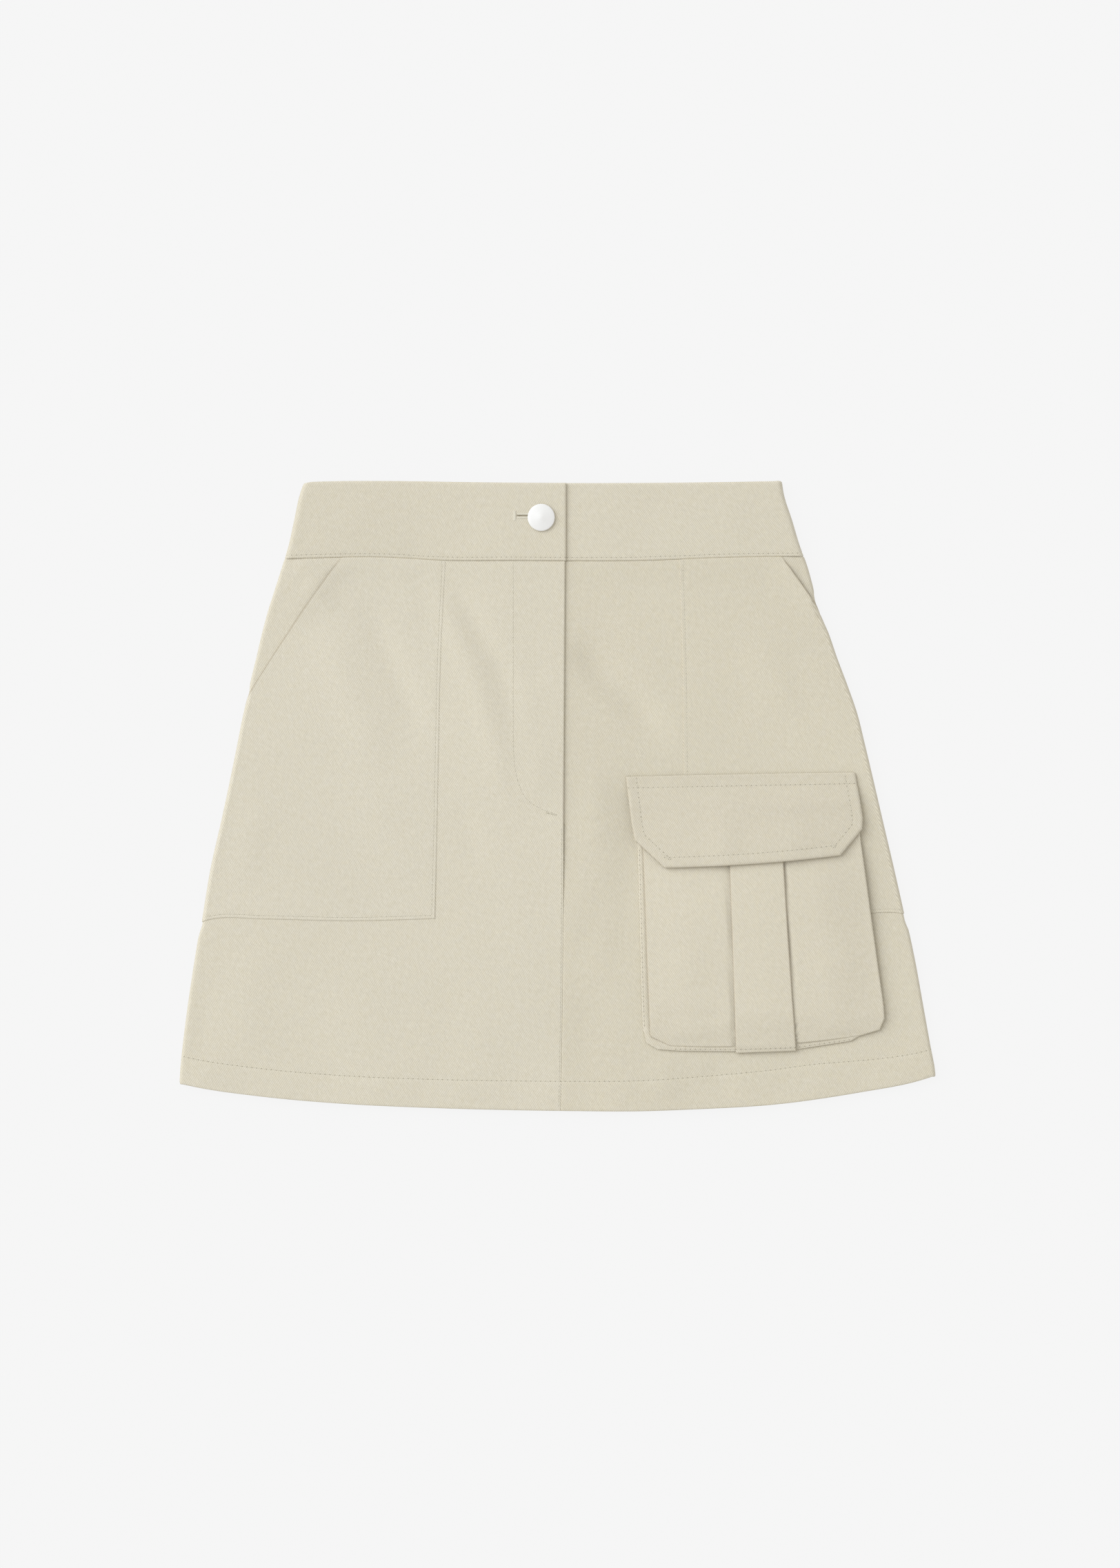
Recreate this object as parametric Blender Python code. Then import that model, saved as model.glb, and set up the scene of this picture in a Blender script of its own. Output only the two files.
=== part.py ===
"""Cargo utility skirt, laid flat on its back.

Metres, +Z up. +X runs across the skirt, +Y runs from the hem to the waistband.
The skirt is a flattened tube of twill: the back lies on the ground and the fronts lie on it.
The origin is under the middle of the skirt, on the surface it lies on.
"""

from math import cos, exp, hypot, pi, radians, sin

import bmesh
import bpy

MM = 0.001

# Cloth
CLOTH = 1.0 * MM            # one layer of heavy cotton twill
DOUBLED = 2.0 * MM          # two layers: hem, fly edge, waistband, flap
SEAM_GAP = 0.3 * MM         # between pieces that are sewn or laid together
WAIST_GAP = 0.6 * MM        # the same under the waistband, whose folded ends splay a little

# Flattened tube
BODY_HEIGHT = 4.8 * MM      # outside height of the skirt where it folds at the sides
BAND_HEIGHT = 6.0 * MM      # the same for the waistband, which closes over the pocket tops
POCKET_LIFT = CLOTH + SEAM_GAP
POCKET_WRAP_LIFT = POCKET_LIFT + 0.2 * MM   # a little looser where it goes round the side fold
LAP_LIFT = DOUBLED + SEAM_GAP
HEM_DEPTH = 18.5 * MM
BACK_SHORTER = 1.5 * MM     # how far the back's hem stays behind the front's
ROLL_STEPS = 6              # facets round half of a side fold

# Fly and closing
FLY_END_Y = -13.0 * MM
FLY_WIDTH = 36.0 * MM
EXTENSION_X = -14.0 * MM    # how far the right front reaches under the fly
UNDER_END_X = -28.0 * MM    # end of the waistband underneath
OVER_END_X = 5.7 * MM       # end of the waistband on top

# Button
BUTTON_X = -10.8 * MM
BUTTON_Y = 184.1 * MM
BUTTON_RADIUS = 9.0 * MM
SHANK_RADIUS = 2.2 * MM
TACK_RADIUS = 4.7 * MM
NAIL_RADIUS = 1.0 * MM
BUTTONHOLE_LEFT_X = -26.9 * MM

# Cargo pocket
CARGO_EDGE_HEIGHT = 7.0 * MM    # outside height of the pocket front over the skirt, at its edges
CARGO_CROWN = 1.6 * MM          # how much higher its middle is

# Side folds of the laid skirt: height up the skirt, left fold, right fold, in millimetres.
FOLD_ROWS = [
    {"y": 208.6, "left": -167.4, "right": 148.4},
    {"y": 200.4, "left": -170.3, "right": 149.6},
    {"y": 182.2, "left": -174.4, "right": 155.3},
    {"y": 163.9, "left": -178.5, "right": 160.9},
    {"y": 154.8, "left": -181.4, "right": 164.4},
    {"y": 136.6, "left": -187.2, "right": 169.6},
    {"y": 129.5, "left": -189.5, "right": 172.2},
    {"y": 123.3, "left": -191.5, "right": 173.5},
    {"y": 116.0, "left": -193.5, "right": 176.2},
    {"y": 109.2, "left": -195.3, "right": 179.4},
    {"y": 91.0, "left": -199.6, "right": 185.8},
    {"y": 72.7, "left": -204.1, "right": 192.7},
    {"y": 54.5, "left": -208.6, "right": 199.0},
    {"y": 18.0, "left": -215.9, "right": 207.9},
    {"y": -18.5, "left": -223.7, "right": 216.4},
    {"y": -45.8, "left": -229.9, "right": 222.8},
    {"y": -82.3, "left": -236.0, "right": 231.0},
    {"y": -109.7, "left": -240.5, "right": 236.8},
    {"y": -137.0, "left": -244.6, "right": 241.7},
    {"y": -164.4, "left": -248.1, "right": 246.6},
    {"y": -182.6, "left": -249.9, "right": 249.9},
    {"y": -192.0, "left": -250.4, "right": 250.4},
]

# Centre front line, down the fly edge and then the seam below it.
CENTRE_ROWS = [
    {"y": 160.0, "x": 5.1},
    {"y": 70.0, "x": 4.6},
    {"y": -13.0, "x": 4.1},
    {"y": -94.0, "x": 3.8},
    {"y": -181.0, "x": 2.6},
    {"y": -209.0, "x": 2.1},
]

# Lower edge of the hem.
HEM_ROWS = [
    {"x": -250.4, "y": -190.2},
    {"x": -238.7, "y": -192.7},
    {"x": -197.7, "y": -198.6},
    {"x": -143.0, "y": -203.5},
    {"x": -81.4, "y": -206.4},
    {"x": -33.5, "y": -207.7},
    {"x": 14.4, "y": -208.4},
    {"x": 48.6, "y": -208.6},
    {"x": 89.6, "y": -207.3},
    {"x": 144.3, "y": -204.0},
    {"x": 199.0, "y": -196.2},
    {"x": 240.1, "y": -188.1},
    {"x": 250.4, "y": -184.9},
]

# Lower edge of the waistband.
WAIST_ROWS = [
    {"x": -181.0, "y": 156.8},
    {"x": -116.0, "y": 157.8},
    {"x": -74.0, "y": 155.7},
    {"x": -31.0, "y": 155.7},
    {"x": 5.0, "y": 155.5},
    {"x": 48.6, "y": 155.5},
    {"x": 118.3, "y": 157.8},
    {"x": 164.0, "y": 158.4},
]

# Upper edge of the waistband.
TOP_ROWS = [
    {"x": -168.0, "y": 207.3},
    {"x": -129.0, "y": 208.4},
    {"x": -102.0, "y": 208.4},
    {"x": -33.5, "y": 207.3},
    {"x": 69.0, "y": 207.3},
    {"x": 148.4, "y": 208.6},
]

# How far the right side seam lies round on the back.
WRAP_ROWS = [
    {"y": 158.0, "wrap": 22.0},
    {"y": 64.0, "wrap": 17.0},
    {"y": -60.0, "wrap": 9.0},
    {"y": -192.0, "wrap": 4.0},
]

# Soft folds in the fronts: from, to, half width and height, which is negative for a trough.
SOFT_FOLDS = [
    {"x0": -66.0, "y0": 120.0, "x1": -38.0, "y1": 34.0, "width": 26.0, "height": -0.6},
    {"x0": -146.0, "y0": 126.0, "x1": -104.0, "y1": 16.0, "width": 30.0, "height": -0.4},
    {"x0": 24.0, "y0": 90.0, "x1": 70.0, "y1": 40.0, "width": 26.0, "height": -0.5},
    {"x0": 32.0, "y0": -34.0, "x1": 6.0, "y1": -140.0, "width": 26.0, "height": -0.6},
    {"x0": -64.0, "y0": 48.0, "x1": -34.0, "y1": -66.0, "width": 28.0, "height": -0.4},
    {"x0": -165.0, "y0": 40.0, "x1": -155.0, "y1": -20.0, "width": 36.0, "height": 0.4},
    {"x0": -150.0, "y0": -110.0, "x1": -156.0, "y1": -160.0, "width": 36.0, "height": 0.4},
]

# Patch pockets: inner edge, bottom edge and the slanting mouth.
POCKET_INNER_LEFT = [
    {"y": 157.0, "x": -73.6},
    {"y": 98.7, "x": -76.8},
    {"y": 29.0, "x": -78.5},
    {"y": -12.0, "x": -79.3},
    {"y": -82.0, "x": -81.0},
]
POCKET_INNER_RIGHT = [
    {"y": 157.0, "x": 80.4},
    {"y": 76.1, "x": 82.8},
    {"y": 14.1, "x": 83.4},
    {"y": -78.0, "x": 85.5},
]
POCKET_BOTTOM_LEFT = [
    {"x": -81.0, "y": -81.2},
    {"x": -138.0, "y": -82.6},
    {"x": -194.0, "y": -81.4},
    {"x": -228.0, "y": -81.4},
    {"x": -236.5, "y": -83.4},
]
POCKET_BOTTOM_RIGHT = [
    {"x": 85.5, "y": -80.5},
    {"x": 206.3, "y": -77.5},
    {"x": 222.8, "y": -77.0},
    {"x": 232.0, "y": -77.9},
]
MOUTH_START_LEFT = 148.9 * MM    # from the centre front to the mouth's upper end
MOUTH_START_RIGHT = 144.1 * MM
MOUTH_SLOPE = 1.50          # drop for each unit outwards
MOUTH_BOW = 2.6 * MM

# Cargo pocket front, a row from its bottom edge to its mouth. bow is the sag of the row's middle.
CARGO_ROWS = [
    {"left": 74.1, "leftY": -165.3, "right": 200.0, "rightY": -158.5, "bow": 3.0},
    {"left": 60.9, "leftY": -158.9, "right": 213.0, "rightY": -154.6, "bow": 2.0},
    {"left": 60.6, "leftY": -150.0, "right": 216.1, "rightY": -147.0, "bow": 1.0},
    {"left": 60.2, "leftY": -138.0, "right": 215.5, "rightY": -138.0, "bow": 0.4},
    {"left": 59.0, "leftY": -110.0, "right": 211.5, "rightY": -110.0, "bow": 0.0},
    {"left": 57.9, "leftY": -78.0, "right": 207.0, "rightY": -78.0, "bow": 0.0},
    {"left": 56.6, "leftY": -44.0, "right": 202.1, "rightY": -42.0, "bow": 0.0},
    {"left": 55.2, "leftY": -8.0, "right": 197.0, "rightY": -6.0, "bow": 0.0},
]

# Bellows strip: its seam on the skirt (foot) and the pocket front's edge above it.
GUSSET_ROWS = [
    {"footX": 51.6, "footY": -7.0, "edgeX": 55.2, "edgeY": -8.0},
    {"footX": 53.2, "footY": -36.0, "edgeX": 56.3, "edgeY": -36.0},
    {"footX": 54.4, "footY": -80.0, "edgeX": 58.0, "edgeY": -80.0},
    {"footX": 55.6, "footY": -130.0, "edgeX": 59.8, "edgeY": -130.0},
    {"footX": 56.4, "footY": -152.0, "edgeX": 60.7, "edgeY": -152.0},
    {"footX": 58.6, "footY": -163.0, "edgeX": 62.6, "edgeY": -159.8},
    {"footX": 66.0, "footY": -167.4, "edgeX": 69.0, "edgeY": -163.0},
    {"footX": 80.0, "footY": -168.4, "edgeX": 80.0, "edgeY": -165.7},
    {"footX": 117.0, "footY": -168.8, "edgeX": 117.0, "edgeY": -165.6},
    {"footX": 157.0, "footY": -167.6, "edgeX": 157.0, "edgeY": -163.6},
    {"footX": 194.0, "footY": -161.8, "edgeX": 194.0, "edgeY": -159.0},
    {"footX": 204.0, "footY": -155.4, "edgeX": 208.0, "edgeY": -156.2},
    {"footX": 210.0, "footY": -149.0, "edgeX": 215.2, "edgeY": -150.0},
    {"footX": 211.2, "footY": -140.0, "edgeX": 215.8, "edgeY": -140.0},
    {"footX": 207.2, "footY": -110.0, "edgeX": 211.5, "edgeY": -110.0},
    {"footX": 203.6, "footY": -84.0, "edgeX": 207.9, "edgeY": -84.0},
    {"footX": 200.2, "footY": -60.0, "edgeX": 204.5, "edgeY": -60.0},
    {"footX": 196.0, "footY": -32.0, "edgeX": 200.6, "edgeY": -32.0},
    {"footX": 192.6, "footY": -7.0, "edgeX": 197.0, "edgeY": -6.0},
]

# Box pleat on the cargo pocket front, and the flap, a row from the lower edge upwards.
PLEAT_ROWS = [
    {"left": 117.6, "leftY": -169.9, "right": 157.8, "rightY": -168.6, "bow": 0.0},
    {"left": 117.5, "leftY": -164.0, "right": 157.4, "rightY": -162.6, "bow": 0.0},
    {"left": 117.0, "leftY": -149.0, "right": 156.2, "rightY": -148.4, "bow": 0.0},
    {"left": 116.6, "leftY": -138.0, "right": 155.4, "rightY": -138.0, "bow": 0.0},
    {"left": 115.7, "leftY": -110.0, "right": 153.5, "rightY": -110.0, "bow": 0.0},
    {"left": 114.6, "leftY": -78.0, "right": 151.4, "rightY": -78.0, "bow": 0.0},
    {"left": 113.3, "leftY": -43.2, "right": 149.1, "rightY": -42.7, "bow": 0.0},
    {"left": 112.0, "leftY": -9.4, "right": 147.0, "rightY": -9.0, "bow": 0.0},
]
FLAP_ROWS = [
    {"left": 70.5, "leftY": -47.4, "right": 186.7, "rightY": -39.1, "bow": 1.5},
    {"left": 60.4, "leftY": -38.2, "right": 194.4, "rightY": -30.4, "bow": 1.3},
    {"left": 50.8, "leftY": -29.0, "right": 201.2, "rightY": -21.7, "bow": 1.0},
    {"left": 48.8, "leftY": -18.0, "right": 201.7, "rightY": -14.5, "bow": 0.7},
    {"left": 47.4, "leftY": -7.0, "right": 200.3, "rightY": -5.0, "bow": 0.4},
    {"left": 46.2, "leftY": 2.0, "right": 198.8, "rightY": 4.0, "bow": 0.1},
    {"left": 45.4, "leftY": 8.5, "right": 197.6, "rightY": 11.0, "bow": 0.0},
    {"left": 44.9, "leftY": 13.0, "right": 196.8, "rightY": 15.8, "bow": -0.3},
]


def clearScene():
    for old in list(bpy.data.objects):
        bpy.data.objects.remove(old, do_unlink=True)


def principled(name, colour, roughness, metallic):
    material = bpy.data.materials.new(name)
    material.use_nodes = True
    shader = material.node_tree.nodes["Principled BSDF"]
    shader.inputs["Base Color"].default_value = (*colour, 1.0)
    shader.inputs["Roughness"].default_value = roughness
    shader.inputs["Metallic"].default_value = metallic
    material.diffuse_color = (*colour, 1.0)
    return material


def between(a, b, t):
    return a + (b - a) * t


def smooth(value, low, high):
    """0 at low, 1 at high, eased at both ends. low may be above high."""
    t = min(max((value - low) / (high - low), 0.0), 1.0)
    return t * t * (3.0 - 2.0 * t)


def readTable(rows, key, at, column):
    """Linear reading of a table given in millimetres, at a value in metres."""
    ordered = sorted(rows, key=lambda row: row[key])
    at = at / MM
    if at <= ordered[0][key]:
        return ordered[0][column] * MM
    for low, high in zip(ordered, ordered[1:]):
        if at <= high[key]:
            t = (at - low[key]) / (high[key] - low[key])
            return between(low[column], high[column], t) * MM
    return ordered[-1][column] * MM


def centreX(y):
    return readTable(CENTRE_ROWS, "y", y, "x")


def pocketInset(side, y):
    """The fold of the panel lies this much inside, where a patch pocket wraps over it."""
    if side < 0:
        return POCKET_WRAP_LIFT * smooth(y, 76 * MM, 66 * MM) * smooth(y, -94 * MM, -85 * MM)
    return POCKET_WRAP_LIFT * smooth(y, 138 * MM, 130 * MM) * smooth(y, -90 * MM, -82 * MM)


def foldX(side, y):
    edge = readTable(FOLD_ROWS, "y", y, "left" if side < 0 else "right")
    return edge - side * pocketInset(side, y)


def softFold(x, y, row):
    ax, ay = row["x0"] * MM, row["y0"] * MM
    bx, by = row["x1"] * MM, row["y1"] * MM
    length = hypot(bx - ax, by - ay)
    along = ((x - ax) * (bx - ax) + (y - ay) * (by - ay)) / length ** 2
    nearest = min(max(along, 0.0), 1.0)
    away = hypot(x - between(ax, bx, nearest), y - between(ay, by, nearest))
    return row["height"] * MM * exp(-((away / (row["width"] * MM)) ** 2))


def bodyTop(x, y):
    """Outer height of the fronts, without the lap of the fly."""
    relief = sum(softFold(x, y, row) for row in SOFT_FOLDS)
    side = -1 if x < 0 else 1
    toFold = abs(foldX(side, y)) - abs(x)
    relief *= smooth(toFold, 4 * MM, 34 * MM)
    relief *= smooth(y, 157 * MM, 140 * MM) * smooth(y, -206 * MM, -176 * MM)
    return BODY_HEIGHT + relief


def lapRise(x, y):
    """Extra height of the left front where it lies over the right front's extension."""
    return LAP_LIFT * smooth(x, -62 * MM, -30 * MM) * smooth(y, -46 * MM, -23 * MM)


def skirtTop(x, y):
    """What the cargo pocket lies on: the right front and the patch pocket on it."""
    edge = readTable(POCKET_INNER_RIGHT, "y", y, "x")
    overPatch = smooth(x, edge - 6 * MM, edge - 1 * MM) * smooth(y, -93 * MM, -85 * MM)
    return bodyTop(x, y) + POCKET_LIFT * overPatch


def underside(side, y):
    """Height of the panel's underside: the right pocket wraps round beneath it."""
    return pocketInset(side, y) if side > 0 else 0.0


def rollPoint(side, y, angle, lift=0.0):
    """A point round the body's side fold: angle 0 is on top, 180 degrees is underneath."""
    low = underside(side, y)
    radius = (BODY_HEIGHT - low) / 2
    x = foldX(side, y) - side * radius + side * (radius + lift) * sin(angle)
    return (x, y, low + radius + (radius + lift) * cos(angle))


def seamEnd(side, y, above, lift=0.0):
    """The last two points at a seam on the fold itself, which meet the other panel squarely."""
    x = foldX(side, y) + side * lift
    middle = BODY_HEIGHT / 2
    sign = 1 if above else -1
    return [(x, y, middle + sign * 0.6 * MM), (x, y, middle + sign * SEAM_GAP / 2)]


def clothSheet(name, grid, thickness, material, offset=-1.0, doubled=None, flip=False):
    """A sheet through a grid of points, thickened by Solidify.

    offset -1 grows it inwards from the outer face. doubled(row, column) is 1 where the sheet
    has its full thickness and 0 where it is a single layer of cloth.
    """
    mesh = bpy.data.meshes.new(name)
    work = bmesh.new()
    rows = [[work.verts.new(point) for point in line] for line in grid]
    for low, high in zip(rows, rows[1:]):
        for a, b, c, d in zip(low, low[1:], high[1:], high):
            work.faces.new((d, c, b, a) if flip else (a, b, c, d))
    work.to_mesh(mesh)
    work.free()
    mesh.materials.append(material)
    piece = bpy.data.objects.new(name, mesh)
    bpy.context.scene.collection.objects.link(piece)
    solidify = piece.modifiers.new("Cloth", "SOLIDIFY")
    solidify.thickness = thickness
    solidify.offset = offset
    solidify.use_even_offset = True
    solidify.use_quality_normals = True
    if doubled:
        group = piece.vertex_groups.new(name="doubled")
        columns = len(grid[0])
        for r in range(len(grid)):
            for c in range(columns):
                group.add([r * columns + c], doubled(r, c), "REPLACE")
        solidify.vertex_group = "doubled"
        solidify.thickness_vertex_group = CLOTH / thickness
    mesh.shade_smooth()
    mesh.set_sharp_from_angle(angle=radians(40))
    return piece


def turnedPiece(name, profile, steps, material, at):
    """A turned piece: profile is (radius, height) from the axis to the axis, bottom to top."""
    mesh = bpy.data.meshes.new(name)
    work = bmesh.new()
    verts = [work.verts.new((radius, 0, height)) for radius, height in profile]
    edges = [work.edges.new(pair) for pair in zip(verts, verts[1:])]
    bmesh.ops.spin(
        work,
        geom=verts + edges,
        axis=(0, 0, 1),
        cent=(0, 0, 0),
        steps=steps,
        angle=2 * pi,
        use_merge=True,
    )
    bmesh.ops.remove_doubles(work, verts=work.verts, dist=1e-6)
    bmesh.ops.recalc_face_normals(work, faces=work.faces)
    work.to_mesh(mesh)
    work.free()
    mesh.materials.append(material)
    mesh.shade_smooth()
    mesh.set_sharp_from_angle(angle=radians(35))
    piece = bpy.data.objects.new(name, mesh)
    piece.location = at
    bpy.context.scene.collection.objects.link(piece)
    return piece


def prismCutter(name, outline, low, high):
    """An upright cutter with the given outline, listed anticlockwise."""
    mesh = bpy.data.meshes.new(name)
    work = bmesh.new()
    face = work.faces.new([work.verts.new((x, y, low)) for x, y in outline])
    grown = bmesh.ops.extrude_face_region(work, geom=[face])["geom"]
    top = [item for item in grown if isinstance(item, bmesh.types.BMVert)]
    bmesh.ops.translate(work, verts=top, vec=(0, 0, high - low))
    bmesh.ops.recalc_face_normals(work, faces=work.faces)
    work.to_mesh(mesh)
    work.free()
    cutter = bpy.data.objects.new(name, mesh)
    cutter.hide_render = True
    cutter.display_type = "WIRE"
    bpy.context.scene.collection.objects.link(cutter)
    return cutter


def cutFrom(piece, cutter):
    boolean = piece.modifiers.new(cutter.name, "BOOLEAN")
    boolean.operation = "DIFFERENCE"
    boolean.object = cutter


# Panels

PANEL_HEIGHTS = [-208, -189.5, -187.5, -160, -134, -108, -98, -73, -48, -20, -14,
                 16, 40, 60, 71, 92, 106, 118.2, 125.5, 134, 155.3]


def panelShares():
    low, high = PANEL_HEIGHTS[0], PANEL_HEIGHTS[-1]
    return [(height - low) / (high - low) for height in PANEL_HEIGHTS]


def hemY(x):
    return readTable(HEM_ROWS, "x", x, "y")


def waistY(x):
    return readTable(WAIST_ROWS, "x", x, "y") - WAIST_GAP


def innerEdge(side, y):
    if side < 0:
        if y > FLY_END_Y - 4 * MM:
            return centreX(y)
        return centreX(y) - SEAM_GAP / 2
    if y > FLY_END_Y - 2 * MM:
        return EXTENSION_X
    return centreX(y) + SEAM_GAP / 2


def frontGrid(side, columns):
    """Outer face of a front, from the centre to the side fold, round it and to its seam."""
    grid = []
    roll = side * BODY_HEIGHT / 2
    hemStop = foldX(side, -190 * MM) - roll
    waistStop = foldX(side, 156 * MM) - roll
    hemStart = innerEdge(side, -208 * MM)
    waistStart = innerEdge(side, 155 * MM)
    for share in panelShares():
        line = []
        edgeY = between(hemY(hemStop), waistY(waistStop), share)
        centreY = between(hemY(hemStart), waistY(waistStart), share)
        start = innerEdge(side, centreY)
        stop = foldX(side, edgeY) - roll
        for column in range(columns + 1):
            t = column / columns
            x = between(start, stop, t)
            low = hemY(between(hemStart, hemStop, t))
            high = waistY(between(waistStart, waistStop, t))
            y = between(low, high, share)
            z = bodyTop(x, y) if t < 1.0 else BODY_HEIGHT
            if side < 0:
                z += lapRise(x, y)
            line.append((x, y, z))
        if side < 0:
            angles = [pi * k / ROLL_STEPS for k in range(1, ROLL_STEPS // 2)]
            line += [rollPoint(side, edgeY, angle) for angle in angles]
            line += seamEnd(side, edgeY, above=True)
        else:
            angles = [pi * k / ROLL_STEPS for k in range(1, ROLL_STEPS + 1)]
            line += [rollPoint(side, edgeY, angle) for angle in angles]
            wrap = readTable(WRAP_ROWS, "y", edgeY, "wrap")
            line.append((stop - wrap, edgeY, underside(side, edgeY)))
        grid.append(line)
    return grid


def buildFronts(twill):
    columns = 14
    left = frontGrid(-1, columns)

    def leftDoubled(row, column):
        if row < 2:
            return float(column <= columns)
        x, y, _ = left[row][column]
        fly = x > centreX(y) - FLY_WIDTH - 8 * MM and y > -24 * MM
        return 1.0 if fly else 0.0

    clothSheet("front_left", left, DOUBLED, twill, doubled=leftDoubled, flip=True)
    right = frontGrid(1, columns)

    def rightDoubled(row, column):
        return float(row < 2 and column <= columns)

    clothSheet("front_right", right, DOUBLED, twill, doubled=rightDoubled)


def buildBack(twill):
    columns = 12
    roll = BODY_HEIGHT / 2

    def backEnds(leftY, rightY):
        wrap = readTable(WRAP_ROWS, "y", rightY, "wrap") + SEAM_GAP
        return foldX(-1, leftY) + roll, foldX(1, rightY) - roll - wrap

    hemStart, hemStop = backEnds(-190 * MM, -186 * MM)
    waistStart, waistStop = backEnds(156 * MM, 158 * MM)
    grid = []
    for share in panelShares():
        line = []
        leftY = between(hemY(hemStart) + BACK_SHORTER, waistY(waistStart), share)
        rightY = between(hemY(hemStop) + BACK_SHORTER, waistY(waistStop), share)
        start, stop = backEnds(leftY, rightY)
        line += seamEnd(-1, leftY, above=False)[::-1]
        angles = [pi * k / ROLL_STEPS for k in range(ROLL_STEPS // 2 + 1, ROLL_STEPS)]
        line += [rollPoint(-1, leftY, angle) for angle in angles]
        for column in range(columns + 1):
            t = column / columns
            low = hemY(between(hemStart, hemStop, t)) + BACK_SHORTER
            high = waistY(between(waistStart, waistStop, t))
            line.append((between(start, stop, t), between(low, high, share), 0.0))
        grid.append(line)

    def backDoubled(row, column):
        return float(row < 2 and column >= len(grid[0]) - columns)

    clothSheet("back", grid, DOUBLED, twill, doubled=backDoubled, flip=True)


# Waistband

def bandColumns():
    """Stations round the band, from its under end to its over end: part of the ring, place."""
    stations = [("under", t / 12) for t in range(13)]
    stations += [("rightRoll", pi * k / ROLL_STEPS) for k in range(1, ROLL_STEPS)]
    stations += [("back", t / 10) for t in range(11)]
    stations += [("leftRoll", pi - pi * k / ROLL_STEPS) for k in range(1, ROLL_STEPS)]
    stations += [("over", t / 14) for t in range(15)]
    return stations


def bandPoint(station, share):
    part, place = station
    radius = BAND_HEIGHT / 2

    def roll(side, y, angle):
        x = foldX(side, y) - side * radius * (1 - sin(angle))
        return (x, y, radius + radius * cos(angle))

    def heightAt(x):
        low = readTable(WAIST_ROWS, "x", x, "y")
        high = readTable(TOP_ROWS, "x", x * 0.92, "y")
        return between(low, high, share)

    rightY = heightAt(0.160)
    leftY = heightAt(-0.176)
    right = foldX(1, rightY)
    left = foldX(-1, leftY)
    if part == "under":
        x = between(UNDER_END_X, right - radius, place)
        return (x, heightAt(x), BAND_HEIGHT)
    if part == "rightRoll":
        return roll(1, rightY, place)
    if part == "back":
        x = between(right - radius, left + radius, place)
        return (x, heightAt(x), 0.0)
    if part == "leftRoll":
        return roll(-1, leftY, place)
    x = between(left + radius, OVER_END_X, place)
    rise = LAP_LIFT * smooth(x, -66 * MM, -34 * MM)
    return (x, heightAt(x), BAND_HEIGHT + rise)


def buttonholeOutline():
    """The slit: a slim lens from its left end to the shank, rounded about the shank."""
    reach = SHANK_RADIUS + SEAM_GAP + 0.1 * MM
    upper = []
    for k in range(7):
        t = k / 6
        x = between(BUTTONHOLE_LEFT_X, BUTTON_X - 0.5 * reach, t)
        upper.append((x, BUTTON_Y + between(0.35 * MM, reach * 0.87, t ** 1.6)))
    lower = [(x, 2 * BUTTON_Y - y) for x, y in upper]
    end = []
    for k in range(9):
        angle = radians(-105 + 210 * k / 8)
        end.append((BUTTON_X + reach * cos(angle), BUTTON_Y + reach * sin(angle)))
    return lower + end + upper[::-1]


def buildBand(twill):
    shares = [0.0, 0.25, 0.5, 0.75, 1.0]
    grid = [[bandPoint(station, share) for station in bandColumns()] for share in shares]
    band = clothSheet("waistband", grid, DOUBLED, twill)
    over = BAND_HEIGHT + LAP_LIFT
    slit = prismCutter("buttonhole_cutter", buttonholeOutline(), over - 3.0 * MM, over + 1 * MM)
    slit.location.z = 0.0
    cutFrom(band, slit)
    hole = NAIL_RADIUS + SEAM_GAP
    circle = [
        (BUTTON_X + hole * cos(2 * pi * k / 12), BUTTON_Y + hole * sin(2 * pi * k / 12))
        for k in range(12)
    ]
    tackHole = prismCutter("tack_hole_cutter", circle, 3.0 * MM, BAND_HEIGHT + 0.15 * MM)
    cutFrom(band, tackHole)


def buildButton(metal):
    seat = BAND_HEIGHT + LAP_LIFT + SEAM_GAP
    foot = BAND_HEIGHT + SEAM_GAP
    bore = NAIL_RADIUS + SEAM_GAP
    profile = [
        (0.0, foot + 1.6 * MM),
        (bore, foot + 1.6 * MM),
        (bore, foot),
        (SHANK_RADIUS, foot),
        (SHANK_RADIUS, seat),
        (BUTTON_RADIUS - 0.8 * MM, seat),
        (BUTTON_RADIUS - 0.15 * MM, seat + 0.35 * MM),
        (BUTTON_RADIUS, seat + 0.85 * MM),
        (BUTTON_RADIUS - 0.2 * MM, seat + 1.35 * MM),
        (BUTTON_RADIUS - 0.9 * MM, seat + 1.75 * MM),
        (BUTTON_RADIUS - 3.0 * MM, seat + 2.15 * MM),
        (BUTTON_RADIUS - 5.6 * MM, seat + 2.5 * MM),
        (1.4 * MM, seat + 2.72 * MM),
        (0.0, seat + 2.78 * MM),
    ]
    turnedPiece("button", profile, 40, metal, (BUTTON_X, BUTTON_Y, 0))
    low = DOUBLED + 0.5 * MM
    tack = [
        (0.0, low),
        (TACK_RADIUS - 0.4 * MM, low),
        (TACK_RADIUS, low + 0.4 * MM),
        (TACK_RADIUS - 0.3 * MM, low + 0.8 * MM),
        (NAIL_RADIUS, low + 1.0 * MM),
        (NAIL_RADIUS, foot + 0.7 * MM),
        (NAIL_RADIUS * 0.4, foot + 1.3 * MM),
        (0.0, foot + 1.3 * MM),
    ]
    turnedPiece("button_tack", tack, 20, metal, (BUTTON_X, BUTTON_Y, 0))


# Patch pockets

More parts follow.
